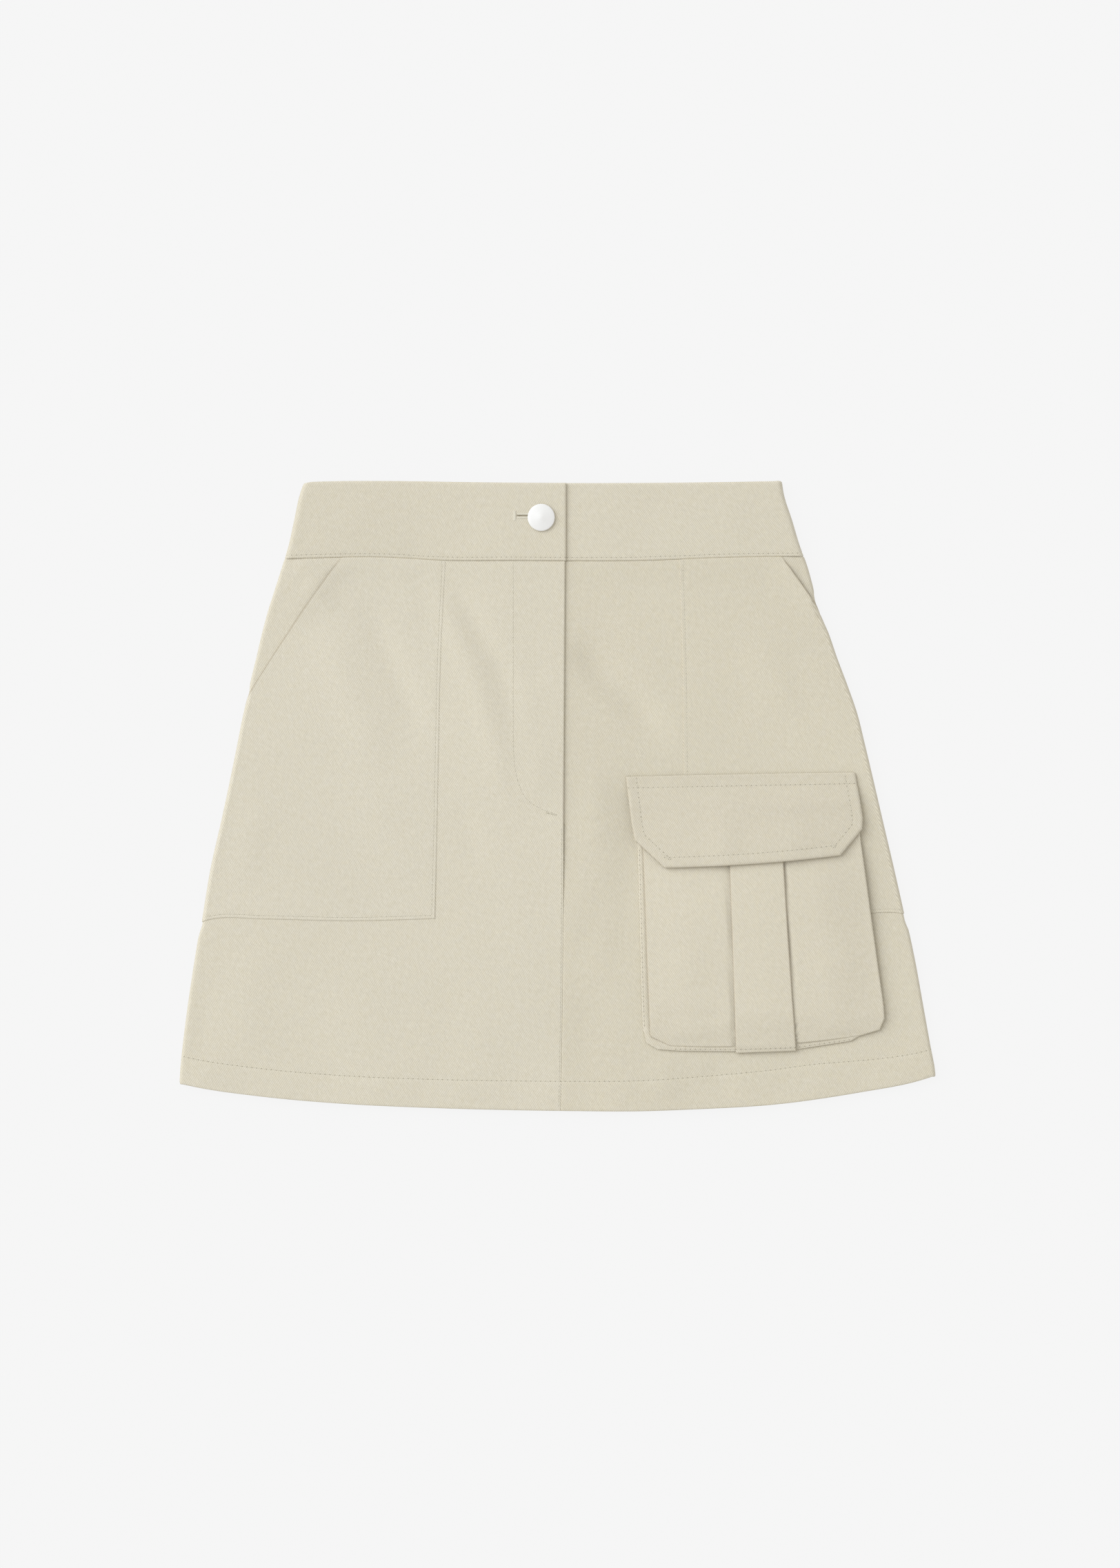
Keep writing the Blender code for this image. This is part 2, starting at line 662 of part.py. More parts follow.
def mouthY(side, out):
    """Height of the slanting mouth at a distance out from the centre front line."""
    beyond = out - (MOUTH_START_LEFT if side < 0 else MOUTH_START_RIGHT)
    if beyond <= 0:
        return 1.0
    bow = MOUTH_BOW * 4 * min(beyond / (62 * MM), 1.0) * max(1 - beyond / (62 * MM), 0.0)
    return 157.2 * MM - MOUTH_SLOPE * beyond + bow


def pocketColumn(side, place, y):
    """(x, out from centre, angle, wrap) of a column of the pocket at a height up the skirt.

    place 0 to 1 runs over the flat part, 1 to 2 round the fold and 2 to 3 on the back.
    """
    inner = readTable(POCKET_INNER_LEFT if side < 0 else POCKET_INNER_RIGHT, "y", y, "x")
    fold = foldX(side, y)
    stop = fold - side * BODY_HEIGHT / 2
    flat = between(inner, stop, min(place, 1.0))
    out = abs(flat - centreX(y))
    angle = 0.0
    wrap = 0.0
    if place > 1.0:
        angle = min(place - 1.0, 1.0) * pi
        out += angle * BODY_HEIGHT / 2
    if place > 2.0:
        wrap = (place - 2.0) * (readTable(WRAP_ROWS, "y", y, "wrap") - SEAM_GAP)
        out += wrap
    return flat, out, angle, wrap


def pocketTop(side, place):
    """The column's upper end: at the waistband, or on the slanting mouth."""
    low, high = -0.05, 0.160
    for _ in range(30):
        middle = (low + high) / 2
        flat, out, angle, wrap = pocketColumn(side, place, middle)
        ceiling = min(mouthY(side, out), waistY(flat))
        if middle > ceiling:
            high = middle
        else:
            low = middle
    return low


def pocketShares(side):
    """Rows at the same heights as the panel's along the fold, so that both bend alike."""
    stop = foldX(side, -190 * MM) - side * BODY_HEIGHT / 2
    waist = foldX(side, 156 * MM) - side * BODY_HEIGHT / 2
    bottom = -82.5 * MM if side < 0 else -77.5 * MM
    top = pocketTop(side, 1.3)
    heights = [between(hemY(stop), waistY(waist), share) for share in panelShares()]
    inside = [y for y in heights if bottom + 4 * MM < y < top - 1.5 * MM]
    return [0.0] + [(y - bottom) / (top - bottom) for y in inside] + [1.0]


def pocketGrid(side, places):
    table = POCKET_BOTTOM_LEFT if side < 0 else POCKET_BOTTOM_RIGHT
    shares = pocketShares(side)
    grid = []
    columns = []
    for place in places:
        top = pocketTop(side, place)
        flat, _, angle, _ = pocketColumn(side, place, -0.080)
        bottom = readTable(table, "x", flat + side * 4 * MM * sin(min(angle, pi / 2)), "y")
        columns.append((place, bottom, top))
    for share in shares:
        line = []
        for place, bottom, top in columns:
            y = between(bottom, top, share)
            flat, _, angle, wrap = pocketColumn(side, place, y)
            if angle == 0.0:
                base = bodyTop(flat, y) if place < 1.0 else BODY_HEIGHT
                line.append((flat, y, base + POCKET_LIFT))
            else:
                x, _, z = rollPoint(side, y, angle, POCKET_WRAP_LIFT)
                line.append((x - side * wrap, y, z))
        if side < 0:
            line[-2:] = seamEnd(side, line[-1][1], above=True, lift=POCKET_WRAP_LIFT)
        grid.append(line)
    return grid


def buildPatchPockets(twill):
    flat = [0, 0.1, 0.22, 0.34, 0.46, 0.58, 0.7, 0.82, 0.93, 1.0]
    leftRoll = [1 + k / ROLL_STEPS for k in range(1, ROLL_STEPS // 2)] + [1.45, 1.5]
    clothSheet("patch_pocket_left", pocketGrid(-1, flat + leftRoll), CLOTH, twill, flip=True)
    rightRoll = [1 + k / ROLL_STEPS for k in range(1, ROLL_STEPS + 1)] + [2.5, 3.0]
    clothSheet("patch_pocket_right", pocketGrid(1, flat + rightRoll), CLOTH, twill)


# Cargo pocket

def tablePoint(row, t):
    x = between(row["left"], row["right"], t) * MM
    y = between(row["leftY"], row["rightY"], t) - row["bow"] * (1 - (2 * t - 1) ** 2)
    return x, y * MM


def plateTop(x, y):
    """Outer height of the cargo pocket front."""
    overPatch = smooth(x, 48 * MM, 118 * MM) * smooth(y, -130 * MM, -50 * MM)
    middle = 135 * MM
    across = min(abs(x - middle) / (78 * MM), 1.0)
    along = min(max((y + 165 * MM) / (60 * MM), 0.0), 1.0)
    crown = (1 - across ** 2) * (1 - (1 - along) ** 2)
    return BODY_HEIGHT + POCKET_LIFT * overPatch + CARGO_EDGE_HEIGHT + CARGO_CROWN * crown


def cargoGrid(rows, shares, height):
    return [
        [(*tablePoint(row, t), height(*tablePoint(row, t))) for t in shares]
        for row in rows
    ]


def flapTop(x, y):
    """Outer height of the flap: sewn down along its upper edge, over the pocket below."""
    overPleat = smooth(x, 92 * MM, 112 * MM) * smooth(x, 172 * MM, 152 * MM)
    over = plateTop(x, y) + 0.5 * MM + 1.3 * MM * overPleat + DOUBLED
    over -= 0.8 * MM * smooth(x, 54 * MM, 44 * MM)
    sewn = bodyTop(x, y) + POCKET_LIFT * smooth(x, 60 * MM, 78 * MM) + SEAM_GAP + DOUBLED
    return between(sewn, over, smooth(y, 14 * MM, -5 * MM))


def gussetGrid():
    """Section of the bellows at each row: foot, fold under the pocket, and up to its edge."""
    grid = []
    rows = GUSSET_ROWS
    for index, row in enumerate(rows):
        before = rows[max(index - 1, 0)]
        after = rows[min(index + 1, len(rows) - 1)]
        alongX = after["edgeX"] - before["edgeX"]
        alongY = after["edgeY"] - before["edgeY"]
        length = hypot(alongX, alongY)
        inX, inY = -alongY / length, alongX / length
        footInset = (row["footX"] - row["edgeX"]) * inX + (row["footY"] - row["edgeY"]) * inY
        deep = max(footInset, 0.0) + 2.6
        edge = (row["edgeX"] * MM, row["edgeY"] * MM)
        underFront = plateTop(*edge) - CLOTH - SEAM_GAP - CLOTH / 2

        def inward(distance, height):
            x = edge[0] + inX * distance * MM
            y = edge[1] + inY * distance * MM
            return (x, y, height)

        footX, footY = row["footX"] * MM, row["footY"] * MM
        foot = skirtTop(footX, footY) + SEAM_GAP + CLOTH / 2 + 0.1 * MM
        x, y, _ = inward(deep, 0)
        low = skirtTop(x, y) + SEAM_GAP + CLOTH / 2 + 0.3 * MM
        grid.append([
            (footX, footY, foot),
            inward(deep - 1.2, max(low, foot)),
            inward(deep, between(low, underFront, 0.35)),
            inward(deep - 0.6, between(low, underFront, 0.75)),
            inward(1.2, underFront),
        ])
    return grid


def buildCargoPocket(twill):
    clothSheet("cargo_gusset", gussetGrid(), CLOTH, twill, offset=0.0, flip=True)
    across = [0, 0.06, 0.2, 0.34, 0.48, 0.6, 0.72, 0.84, 0.94, 1]
    front = cargoGrid(CARGO_ROWS, across, plateTop)
    clothSheet("cargo_pocket_front", front, CLOTH, twill)
    pleatAcross = [0, 0.33, 0.67, 1]
    pleat = cargoGrid(PLEAT_ROWS, pleatAcross, lambda x, y: plateTop(x, y) + POCKET_LIFT)
    clothSheet("cargo_box_pleat", pleat, CLOTH, twill)
    flapAcross = [0, 0.05, 0.14, 0.26, 0.38, 0.5, 0.62, 0.74, 0.86, 0.95, 1]
    clothSheet("cargo_flap", cargoGrid(FLAP_ROWS, flapAcross, flapTop), DOUBLED, twill)


def buildSkirt():
    clearScene()
    twill = principled("beige_twill", (0.68, 0.64, 0.52), 0.9, 0.0)
    metal = principled("satin_metal", (0.72, 0.72, 0.70), 0.35, 1.0)
    buildFronts(twill)
    buildBack(twill)
    buildBand(twill)
    buildButton(metal)
    buildPatchPockets(twill)
    buildCargoPocket(twill)


buildSkirt()
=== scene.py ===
import math

import bmesh
import bpy
import numpy as np
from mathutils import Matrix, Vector
from mathutils.bvhtree import BVHTree


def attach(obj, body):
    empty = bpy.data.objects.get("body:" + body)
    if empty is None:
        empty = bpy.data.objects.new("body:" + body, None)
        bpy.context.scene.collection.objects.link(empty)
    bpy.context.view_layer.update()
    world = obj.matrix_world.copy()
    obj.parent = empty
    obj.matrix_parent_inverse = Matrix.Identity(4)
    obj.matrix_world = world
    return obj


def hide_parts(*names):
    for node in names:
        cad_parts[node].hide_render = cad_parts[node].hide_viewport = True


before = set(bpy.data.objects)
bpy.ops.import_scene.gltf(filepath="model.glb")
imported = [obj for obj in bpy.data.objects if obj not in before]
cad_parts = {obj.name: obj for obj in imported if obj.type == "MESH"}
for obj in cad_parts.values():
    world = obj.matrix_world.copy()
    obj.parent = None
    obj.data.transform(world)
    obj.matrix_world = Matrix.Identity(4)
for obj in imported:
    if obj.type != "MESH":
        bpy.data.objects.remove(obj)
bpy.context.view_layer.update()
print("frame loaded,", len(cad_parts), "solids")

# All the lengths below are in millimetres until a mesh is made. Weave angles are in degrees,
# and turns round a fold in radians.
mm = 0.001


def eased(value, low, high):
    t = np.clip((value - low) / (high - low), 0.0, 1.0)
    return t * t * (3.0 - 2.0 * t)


def between(a, b, t):
    return a + (b - a) * t


def bell(distance, width):  # 1 in the middle, dying away over the width
    return np.exp(-((distance / width) ** 2))


def unit(vector):
    return vector / np.linalg.norm(vector)


def runOf(steps, axis):  # running total of the steps, from nothing
    start = np.zeros_like(np.take(steps, [0], axis=axis))
    return np.concatenate([start, np.cumsum(steps, axis=axis)], axis=axis)


def shares(low, high, count):  # evenly spaced between two values, leaving both out
    return np.linspace(low, high, count + 2)[1:-1]


def rowsOf(names, values):  # a table with a name for each column
    return [dict(zip(names.split(), row)) for row in values]


def readRows(rows, key, at, column):  # straight between rows
    ordered = sorted(rows, key=lambda row: row[key])
    return np.interp(at, [row[key] for row in ordered], [row[column] for row in ordered])


def hermite(a, b, slopeA, slopeB, t, step=1.0):  # smoothly from a to b
    return ((2 * t**3 - 3 * t**2 + 1) * a + (t**3 - 2 * t**2 + t) * step * slopeA
            + (3 * t**2 - 2 * t**3) * b + (t**3 - t**2) * step * slopeB)


def readCurve(rows, key, at, column):  # a smooth curve through the rows
    ordered = sorted(rows, key=lambda row: row[key])
    xs = np.array([row[key] for row in ordered], float)
    ys = np.array([row[column] for row in ordered], float)
    slopes = np.gradient(ys, xs)
    at = np.clip(np.asarray(at, float), xs[0], xs[-1])
    k = np.clip(np.searchsorted(xs, at) - 1, 0, len(xs) - 2)
    step = xs[k + 1] - xs[k]
    return hermite(ys[k], ys[k + 1], slopes[k], slopes[k + 1], (at - xs[k]) / step, step)


def gapTo(x, y, a, b):  # to the straight line from a to b, and how far along it that point is
    (ax, ay), (bx, by) = a, b
    square = max((bx - ax) ** 2 + (by - ay) ** 2, 1e-9)
    t = np.clip(((x - ax) * (bx - ax) + (y - ay) * (by - ay)) / square, 0, 1)
    return np.hypot(x - ax - t * (bx - ax), y - ay - t * (by - ay)), t


def awayFrom(x, y, path):  # distance to a path, and how far along it the nearest point is
    best = np.full(np.shape(x), 1e9)
    along = np.zeros(np.shape(x))
    lengths = [math.dist(a, b) for a, b in zip(path, path[1:])]
    done = 0.0
    for a, b, length in zip(path, path[1:], lengths):
        gap, t = gapTo(x, y, a, b)
        nearer = gap < best
        best = np.where(nearer, gap, best)
        along = np.where(nearer, (done + t * length) / sum(lengths), along)
        done += length
    return best, along


def crease(path, width, height, start=0.3, stop=0.3):
    # a soft ridge or trough, which grows over the first part of its path and dies over the last
    return {"path": path, "width": width, "height": height, "start": start, "stop": stop}


def creaseHeight(x, y, creases):
    total = np.zeros(np.shape(x))
    for one in creases:
        gap, along = awayFrom(x, y, one["path"])
        ends = 1.0
        if one["start"]:
            ends = ends * eased(along, -0.02, one["start"])
        if one["stop"]:
            ends = ends * eased(along, 1.02, 1 - one["stop"])
        total += one["height"] * ends * bell(gap, one["width"])
    return total


# The laid skirt's outline and seams

skirt = {
    "bodyHeight": 4.8,      # outside, where it folds at the sides
    "bandHeight": 6.0,
    "pocketLift": 0.55,     # patch pocket above the front
    "flyLift": 1.7,         # fly edge above the front under it
    "bandLift": 2.0,        # lapped end of the band above the other end
    "flyExtension": -14.0,  # where the right front ends, under the fly
    "underEnd": -28.0,      # ends of the band, under and over
    "overEnd": 5.7,
    "foldTight": 1.3,       # how far the body is drawn in where a patch pocket wraps it
    "patchHeight": 1.3,     # what the patch pocket adds under the cargo pocket
    "seamTurnings": 0.8,    # swell along the waist seam
}

foldRows = rowsOf("y left right", [  # side folds, from the waist to the hem
    (208.6, -167.4, 148.4), (200.4, -170.3, 149.6), (182.2, -174.4, 155.3),
    (163.9, -178.5, 160.9), (154.8, -181.4, 164.4), (136.6, -187.2, 169.6),
    (129.5, -189.5, 171.6), (123.3, -191.5, 173.5), (116.0, -193.5, 176.4),
    (109.2, -195.3, 179.4), (91.0, -199.6, 185.8), (72.7, -204.1, 192.7), (54.5, -208.6, 199.0),
    (36.0, -212.3, 203.6), (18.0, -215.9, 207.9), (-18.5, -223.7, 216.4), (-45.8, -229.9, 222.8),
    (-82.3, -236.0, 231.0), (-109.7, -240.5, 236.8), (-137.0, -244.6, 241.7),
    (-164.4, -248.1, 246.6), (-182.6, -249.9, 249.9), (-192.0, -250.4, 250.4),
])
centreRows = rowsOf("y x", [
    (160.0, 5.1), (70.0, 4.6), (-13.0, 4.1), (-94.0, 3.8), (-181.0, 2.6), (-209.0, 2.1),
])
hemRows = rowsOf("x y", [
    (-250.4, -190.2), (-238.7, -192.7), (-197.7, -198.6), (-143.0, -203.5), (-81.4, -206.4),
    (-33.5, -207.7), (14.4, -208.4), (48.6, -208.6), (89.6, -207.3), (144.3, -204.0),
    (199.0, -196.2), (240.1, -188.1), (250.4, -184.9),
])
waistRows = rowsOf("x y", [
    (-181.0, 156.8), (-116.0, 157.8), (-74.0, 155.7), (-31.0, 155.6), (5.0, 155.4), (48.6, 155.5),
    (118.3, 157.8), (164.0, 158.4),
])
topRows = rowsOf("x y", [
    (-168.0, 207.3), (-129.0, 208.4), (-102.0, 208.4), (-33.5, 207.3), (69.0, 207.3),
    (148.4, 208.6),
])
wrapRows = rowsOf("y wrap", [  # how far the right side seam lies round on the back
    (158.0, 22.0), (64.0, 17.0), (-60.0, 9.0), (-192.0, 4.0),
])
pocketInnerRows = {
    "left": rowsOf("y x", [
        (158.0, -73.6), (98.7, -76.8), (29.0, -78.5), (-12.0, -79.3), (-82.0, -81.0),
    ]),
    "right": rowsOf("y x", [
        (158.0, 80.4), (76.1, 82.8), (14.1, 83.4), (-78.0, 85.5),
    ]),
}
pocketBottomRows = {
    "left": rowsOf("x y", [
        (-81.0, -81.2), (-138.0, -82.6), (-194.0, -81.4), (-228.0, -81.4), (-236.5, -83.4),
    ]),
    "right": rowsOf("x y", [
        (85.5, -80.5), (206.3, -77.5), (222.8, -77.0), (232.0, -77.9),
    ]),
}
mouth = {  # slanted mouths of the patch pockets, by distance out from the middle
    "left": 148.9, "right": 144.1, "slope": 1.50, "bow": 2.6, "reach": 62.0, "top": 157.2,
}


def centreX(y):
    return readCurve(centreRows, "y", y, "x")


def hemY(x):
    return readCurve(hemRows, "x", x, "y")


def waistY(x):
    return readCurve(waistRows, "x", x, "y")


def sign(side):
    return -1.0 if side == "left" else 1.0


def pocketInset(side, y):
    if side == "left":
        return skirt["foldTight"] * eased(y, 76, 66) * eased(y, -94, -85)
    return skirt["foldTight"] * eased(y, 138, 130) * eased(y, -90, -82)


def foldX(side, y):
    return readCurve(foldRows, "y", y, side) - sign(side) * pocketInset(side, y)


def toSideFold(x, y):
    side = np.where(x < 0, foldX("left", y), foldX("right", y))
    return np.abs(side) - np.abs(x)


# Creases of the fronts, from top to bottom: path, width and height of each
skirtCreases = [
    # ridge and trough beside the fly, running down into its curve
    crease([(-86, 150), (-76, 128), (-65, 102), (-54, 76), (-45, 46), (-37, 14), (-26, -14)],
           8.5, 1.1, stop=0.5),
    crease([(-74, 150), (-65, 132), (-53, 110), (-41, 90), (-33, 68), (-29, 40), (-25, 14)],
           7.5, -1.2, stop=0.6),
    crease([(-46, 92), (-28, 80), (-4, 80)], 7.0, -0.47, 0.4, 0.2),
    crease([(-33, 26), (-28, 4), (-17, -8), (-3, -12)], 4.5, -0.35, 0.4, 0.1),
    crease([(-13, 36), (-11, 14), (-13, 0)], 8.0, 0.39),
    crease([(-68, -2), (-58, -24), (-51, -48)], 8.0, -0.47),
    # across the left patch pocket
    crease([(-133, 136), (-120, 112), (-109, 84), (-97, 56), (-86, 34)], 9.0, -1.01),
    crease([(-158, 122), (-142, 84), (-127, 48), (-114, 14)], 15.0, 1.4),
    crease([(-166, 142), (-155, 131), (-146, 121)], 5.0, 0.55, 0.1),
    crease([(-106, 150), (-100, 134), (-92, 112)], 8.0, 0.31, 0),
    crease([(-122, 10), (-110, -30), (-101, -62)], 14.0, 0.23),
    crease([(-196, 0), (-203, -30), (-208, -64)], 10.0, 0.47),
    # right front, towards the cargo pocket
    crease([(8, 106), (24, 88), (44, 68), (62, 50), (80, 34)], 10.5, -2.9, stop=0.4),
    crease([(12, 98), (24, 82), (36, 72)], 6.0, -0.4),
    crease([(36, 122), (54, 102), (76, 80)], 9.0, 0.3),
    crease([(50, 22), (50, -14), (48, -44), (46, -70), (44, -98), (44, -136)],
           14.0, -1.4, 0.2, 0.4),
    crease([(34, -54), (24, -84), (12, -118)], 9.0, -0.45),
    crease([(24, 24), (26, -10), (22, -40)], 9.0, 0.6),
    crease([(112, 112), (118, 80), (128, 40)], 14.0, -0.4),
    crease([(150, 104), (160, 70), (170, 40)], 12.0, -0.4),
    crease([(140, 90), (156, 56), (176, 26)], 8.0, 0.3),
    # towards the hem
    crease([(-236, -112), (-240, -150), (-240, -184)], 11.0, -0.47),
    crease([(-196, -96), (-204, -130), (-206, -176)], 14.0, 0.47),
    crease([(-124, -104), (-130, -146), (-136, -188)], 20.0, 0.39),
    crease([(-62, -112), (-72, -154), (-76, -190)], 15.0, -0.39),
    crease([(-20, -60), (-18, -110), (-24, -170)], 18.0, 0.47),
    crease([(24, -120), (20, -160), (16, -196)], 13.0, -0.47),
    crease([(66, -172), (70, -184), (72, -200)], 10.0, 0.55, stop=0.1),
    crease([(98, -176), (108, -190), (116, -204)], 8.0, -0.55, stop=0.1),
    crease([(222, -96), (228, -140), (230, -180)], 12.0, -0.31),
]
hemPuckers = rowsOf("x width height", [  # slack between the stitches of the hem
    (-232, 7, 0.22), (-205, 9, -0.2), (-176, 8, 0.25), (-150, 10, -0.18), (-118, 9, 0.2),
    (-88, 8, -0.25), (-60, 10, 0.22), (-30, 8, -0.15), (-6, 8, 0.18), (22, 9, -0.2),
    (44, 8, 0.22), (90, 11, -0.22), (124, 10, 0.24), (152, 8, -0.2), (178, 9, 0.25),
    (206, 8, -0.22), (232, 7, 0.2),
])
hemStitchRows = rowsOf("x depth", [  # depth of the hem's stitching above its edge
    (-250, 18.5), (-170, 18.6), (-30, 19.4), (60, 20.4), (138, 23.0), (165, 23.6), (208, 20.5),
    (250, 18.2),
])
hem = {"layer": 0.22, "groove": 0.1, "grooveWidth": 1.1, "puckerReach": 13.0}


def hemRelief(x, y):  # the turned-up layer inside, pulled in a little by its stitching
    above = y - hemY(x)
    depth = readCurve(hemStitchRows, "x", x, "depth")
    height = hem["layer"] * eased(above, depth + 1.0, depth - 2.0)
    height = height - hem["groove"] * bell(above - depth, hem["grooveWidth"])
    near = bell(above - depth * 0.55, hem["puckerReach"])
    for pucker in hemPuckers:
        lean = x - pucker["x"] - 0.25 * (above - depth)
        height = height + pucker["height"] * near * bell(lean, pucker["width"])
    return height


def bodyTop(x, y):
    relief = creaseHeight(x, y, skirtCreases) * eased(y, 157, 150) * eased(y, -207, -190)
    relief = relief + hemRelief(x, y)
    relief = relief + skirt["seamTurnings"] * eased(y - waistY(x), -18, -1)
    return skirt["bodyHeight"] + relief * eased(toSideFold(x, y), 2, 16)


def flyRise(x, y):
    return skirt["flyLift"] * (eased(x, -98, -18) * eased(y, -90, -14))


def tucked(grid, depth):  # the top edge goes in under the waistband
    x, y = grid[..., 0], grid[..., 1]
    depth = depth * between(0.75, 1.0, eased(toSideFold(x, y), 2, 12))
    return grid - gridNormals(grid) * (depth * eased(y - waistY(x), -0.3, 0.6))[..., None]


def rollPoints(side, y, angle, lift, wrap=0.0):  # round the side fold, 0 on top, pi underneath
    low = pocketInset(side, y) if side == "right" else 0.0
    radius = (skirt["bodyHeight"] - low) / 2
    x = foldX(side, y) + sign(side) * ((radius + lift) * np.sin(angle) - radius)
    z = low + radius + (radius + lift) * np.cos(angle) + 0 * y
    return x - sign(side) * wrap, z


# Mesh making

def gridNormals(grid):
    normal = np.cross(np.gradient(grid, axis=1), np.gradient(grid, axis=0))
    return normal / np.maximum(np.linalg.norm(normal, axis=2, keepdims=True), 1e-9)


def borderPath(grid, name):
    sides = {"bottom": grid[0], "right": grid[:, -1], "top": grid[-1], "left": grid[:, 0]}
    return sides[name][:, :2]


def borderDistance(grid, names):  # in plan, from each point to the nearest of these borders
    best = np.full(grid.shape[:2], 1e9)
    for name in names:
        path = borderPath(grid, name)
        for a, b in zip(path, path[1:]):
            best = np.minimum(best, gapTo(grid[..., 0], grid[..., 1], a, b)[0])
    return best


def foldDrop(gap, radius):  # a quarter round, from 1 at the edge to 0 this far in
    t = np.clip(gap / radius, 0, 1)
    return 1 - np.sqrt(np.clip(1 - (1 - t) ** 2, 0, 1))


def roundBorders(grid, names, radius, depth, grooves=(), grooveDepth=0.14):
    # folded edges curve down, and rows of stitching sit in shallow grooves beside them
    gap = borderDistance(grid, names)
    drop = depth * foldDrop(gap, radius)
    for place in grooves:
        drop = drop + grooveDepth * bell(gap - place, 0.7)
    return grid - gridNormals(grid) * drop[..., None]


def turnedUV(u, v, angle):
    a = np.radians(angle)
    return np.stack([u * np.cos(a) + v * np.sin(a), v * np.cos(a) - u * np.sin(a)], axis=-1)


def clothRun(grid):  # how far along the cloth each point of a row is, leaving out the row's slope
    return runOf(np.linalg.norm(np.diff(grid[..., [0, 2]], axis=1), axis=2), axis=1)


def clothUV(grid, fromColumn, angle):  # across the ribs and along them
    along = clothRun(grid)
    start = grid[:, fromColumn, 0] - along[:, fromColumn]
    return turnedUV(start[:, None] + along, grid[..., 1], angle)


def linkNew(name, data):
    piece = bpy.data.objects.new(name, data)
    bpy.context.scene.collection.objects.link(piece)
    return piece


litSidePaintedShade = 0.16      # painted shade: how much darker the folds that face the light are made


def makeCloth(name, grid, uv, thickness, material, offset=-1.0, painted_shade=0.0):
    rows, columns = grid.shape[:2]
    mesh = bpy.data.meshes.new(name)
    index = np.arange(rows * columns).reshape(rows, columns)
    quads = np.stack(
        [index[:-1, :-1], index[:-1, 1:], index[1:, 1:], index[1:, :-1]], axis=-1
    ).reshape(-1, 4)
    corners = quads.ravel()
    mesh.vertices.add(rows * columns)
    mesh.vertices.foreach_set("co", (grid.reshape(-1, 3) * mm).astype(np.float32).ravel())
    mesh.loops.add(quads.size)
    mesh.loops.foreach_set("vertex_index", corners.astype(np.int32))
    mesh.polygons.add(len(quads))
    mesh.polygons.foreach_set("loop_start", np.arange(0, quads.size, 4, dtype=np.int32))
    mesh.update(calc_edges=True)
    layer = mesh.uv_layers.new(name="cloth")
    layer.data.foreach_set("uv", (uv.reshape(-1, 2)[corners] * mm).astype(np.float32).ravel())
    # painted shade at each point: darker where it faces the light, and where a gap lies beside it
    facing = np.clip(-gridNormals(grid)[..., 0], 0, 1)
    dull = litSidePaintedShade * facing**2 + painted_shade
    dark = mesh.attributes.new("painted_shade", "FLOAT", "POINT")
    dark.data.foreach_set("value", dull.astype(np.float32).ravel())
    mesh.materials.append(material)
    mesh.shade_smooth()
    piece = linkNew(name, mesh)
    shell = piece.modifiers.new("cloth thickness", "SOLIDIFY")
    shell.thickness = thickness * mm
    shell.offset = offset
    shell.use_quality_normals = True
    return piece


def declare(piece, node):
    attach(piece, "root")
    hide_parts(node)


# Materials

def newMaterial(name):
    material = bpy.data.materials.new(name)
    material.use_nodes = True
    tree = material.node_tree
    return material, tree, tree.nodes["Principled BSDF"]


def feed(tree, socket, value):  # a number, a colour or a link
    if isinstance(value, (int, float)):
        socket.default_value = value
    elif isinstance(value, tuple):
        socket.default_value = (*value, 1.0)
    else:
        tree.links.new(value, socket)


def sumOf(tree, kind, *values):
    node = tree.nodes.new("ShaderNodeMath")
    node.operation = kind
    for socket, value in zip(node.inputs, values):
        feed(tree, socket, value)
    return node.outputs[0]


def weighed(tree, first, second, weight):  # first + second * weight
    return sumOf(tree, "ADD", first, sumOf(tree, "MULTIPLY", second, weight))


def waveOf(tree, place, pitch):  # from 0 to 1 and back in each pitch
    turns = 2 * math.pi / (pitch * mm)
    sine = sumOf(tree, "SINE", sumOf(tree, "MULTIPLY", place, turns))
    return sumOf(tree, "MULTIPLY_ADD", sine, 0.5, 0.5)


def noiseAt(tree, place, scale, detail=2.0):
    node = tree.nodes.new("ShaderNodeTexNoise")
    node.inputs["Scale"].default_value = scale
    node.inputs["Detail"].default_value = detail
    tree.links.new(place, node.inputs["Vector"])
    return node.outputs["Fac"]


def evenNoise(tree, place, scale, detail):  # about 0
    return sumOf(tree, "SUBTRACT", noiseAt(tree, place, scale, detail), 0.5)


def mixColours(tree, factor, first, second):
    node = tree.nodes.new("ShaderNodeMix")
    node.data_type = "RGBA"
    for socket, value in zip((node.inputs[0], node.inputs[6], node.inputs[7]),
                             (factor, first, second)):
        feed(tree, socket, value)
    return node.outputs[2]


def addBump(tree, shader, height, strength, depth):
    bump = tree.nodes.new("ShaderNodeBump")
    bump.inputs["Strength"].default_value = strength
    bump.inputs["Distance"].default_value = depth * mm
    tree.links.new(height, bump.inputs["Height"])
    tree.links.new(bump.outputs[0], shader.inputs["Normal"])


def tinted(colour, tone):
    return tuple(c * t for c, t in zip(colour, tone))


def finishOf(shader, recipe):  # the finish that is the same all over
    for socket, value in recipe.items():
        shader.inputs[socket].default_value = value


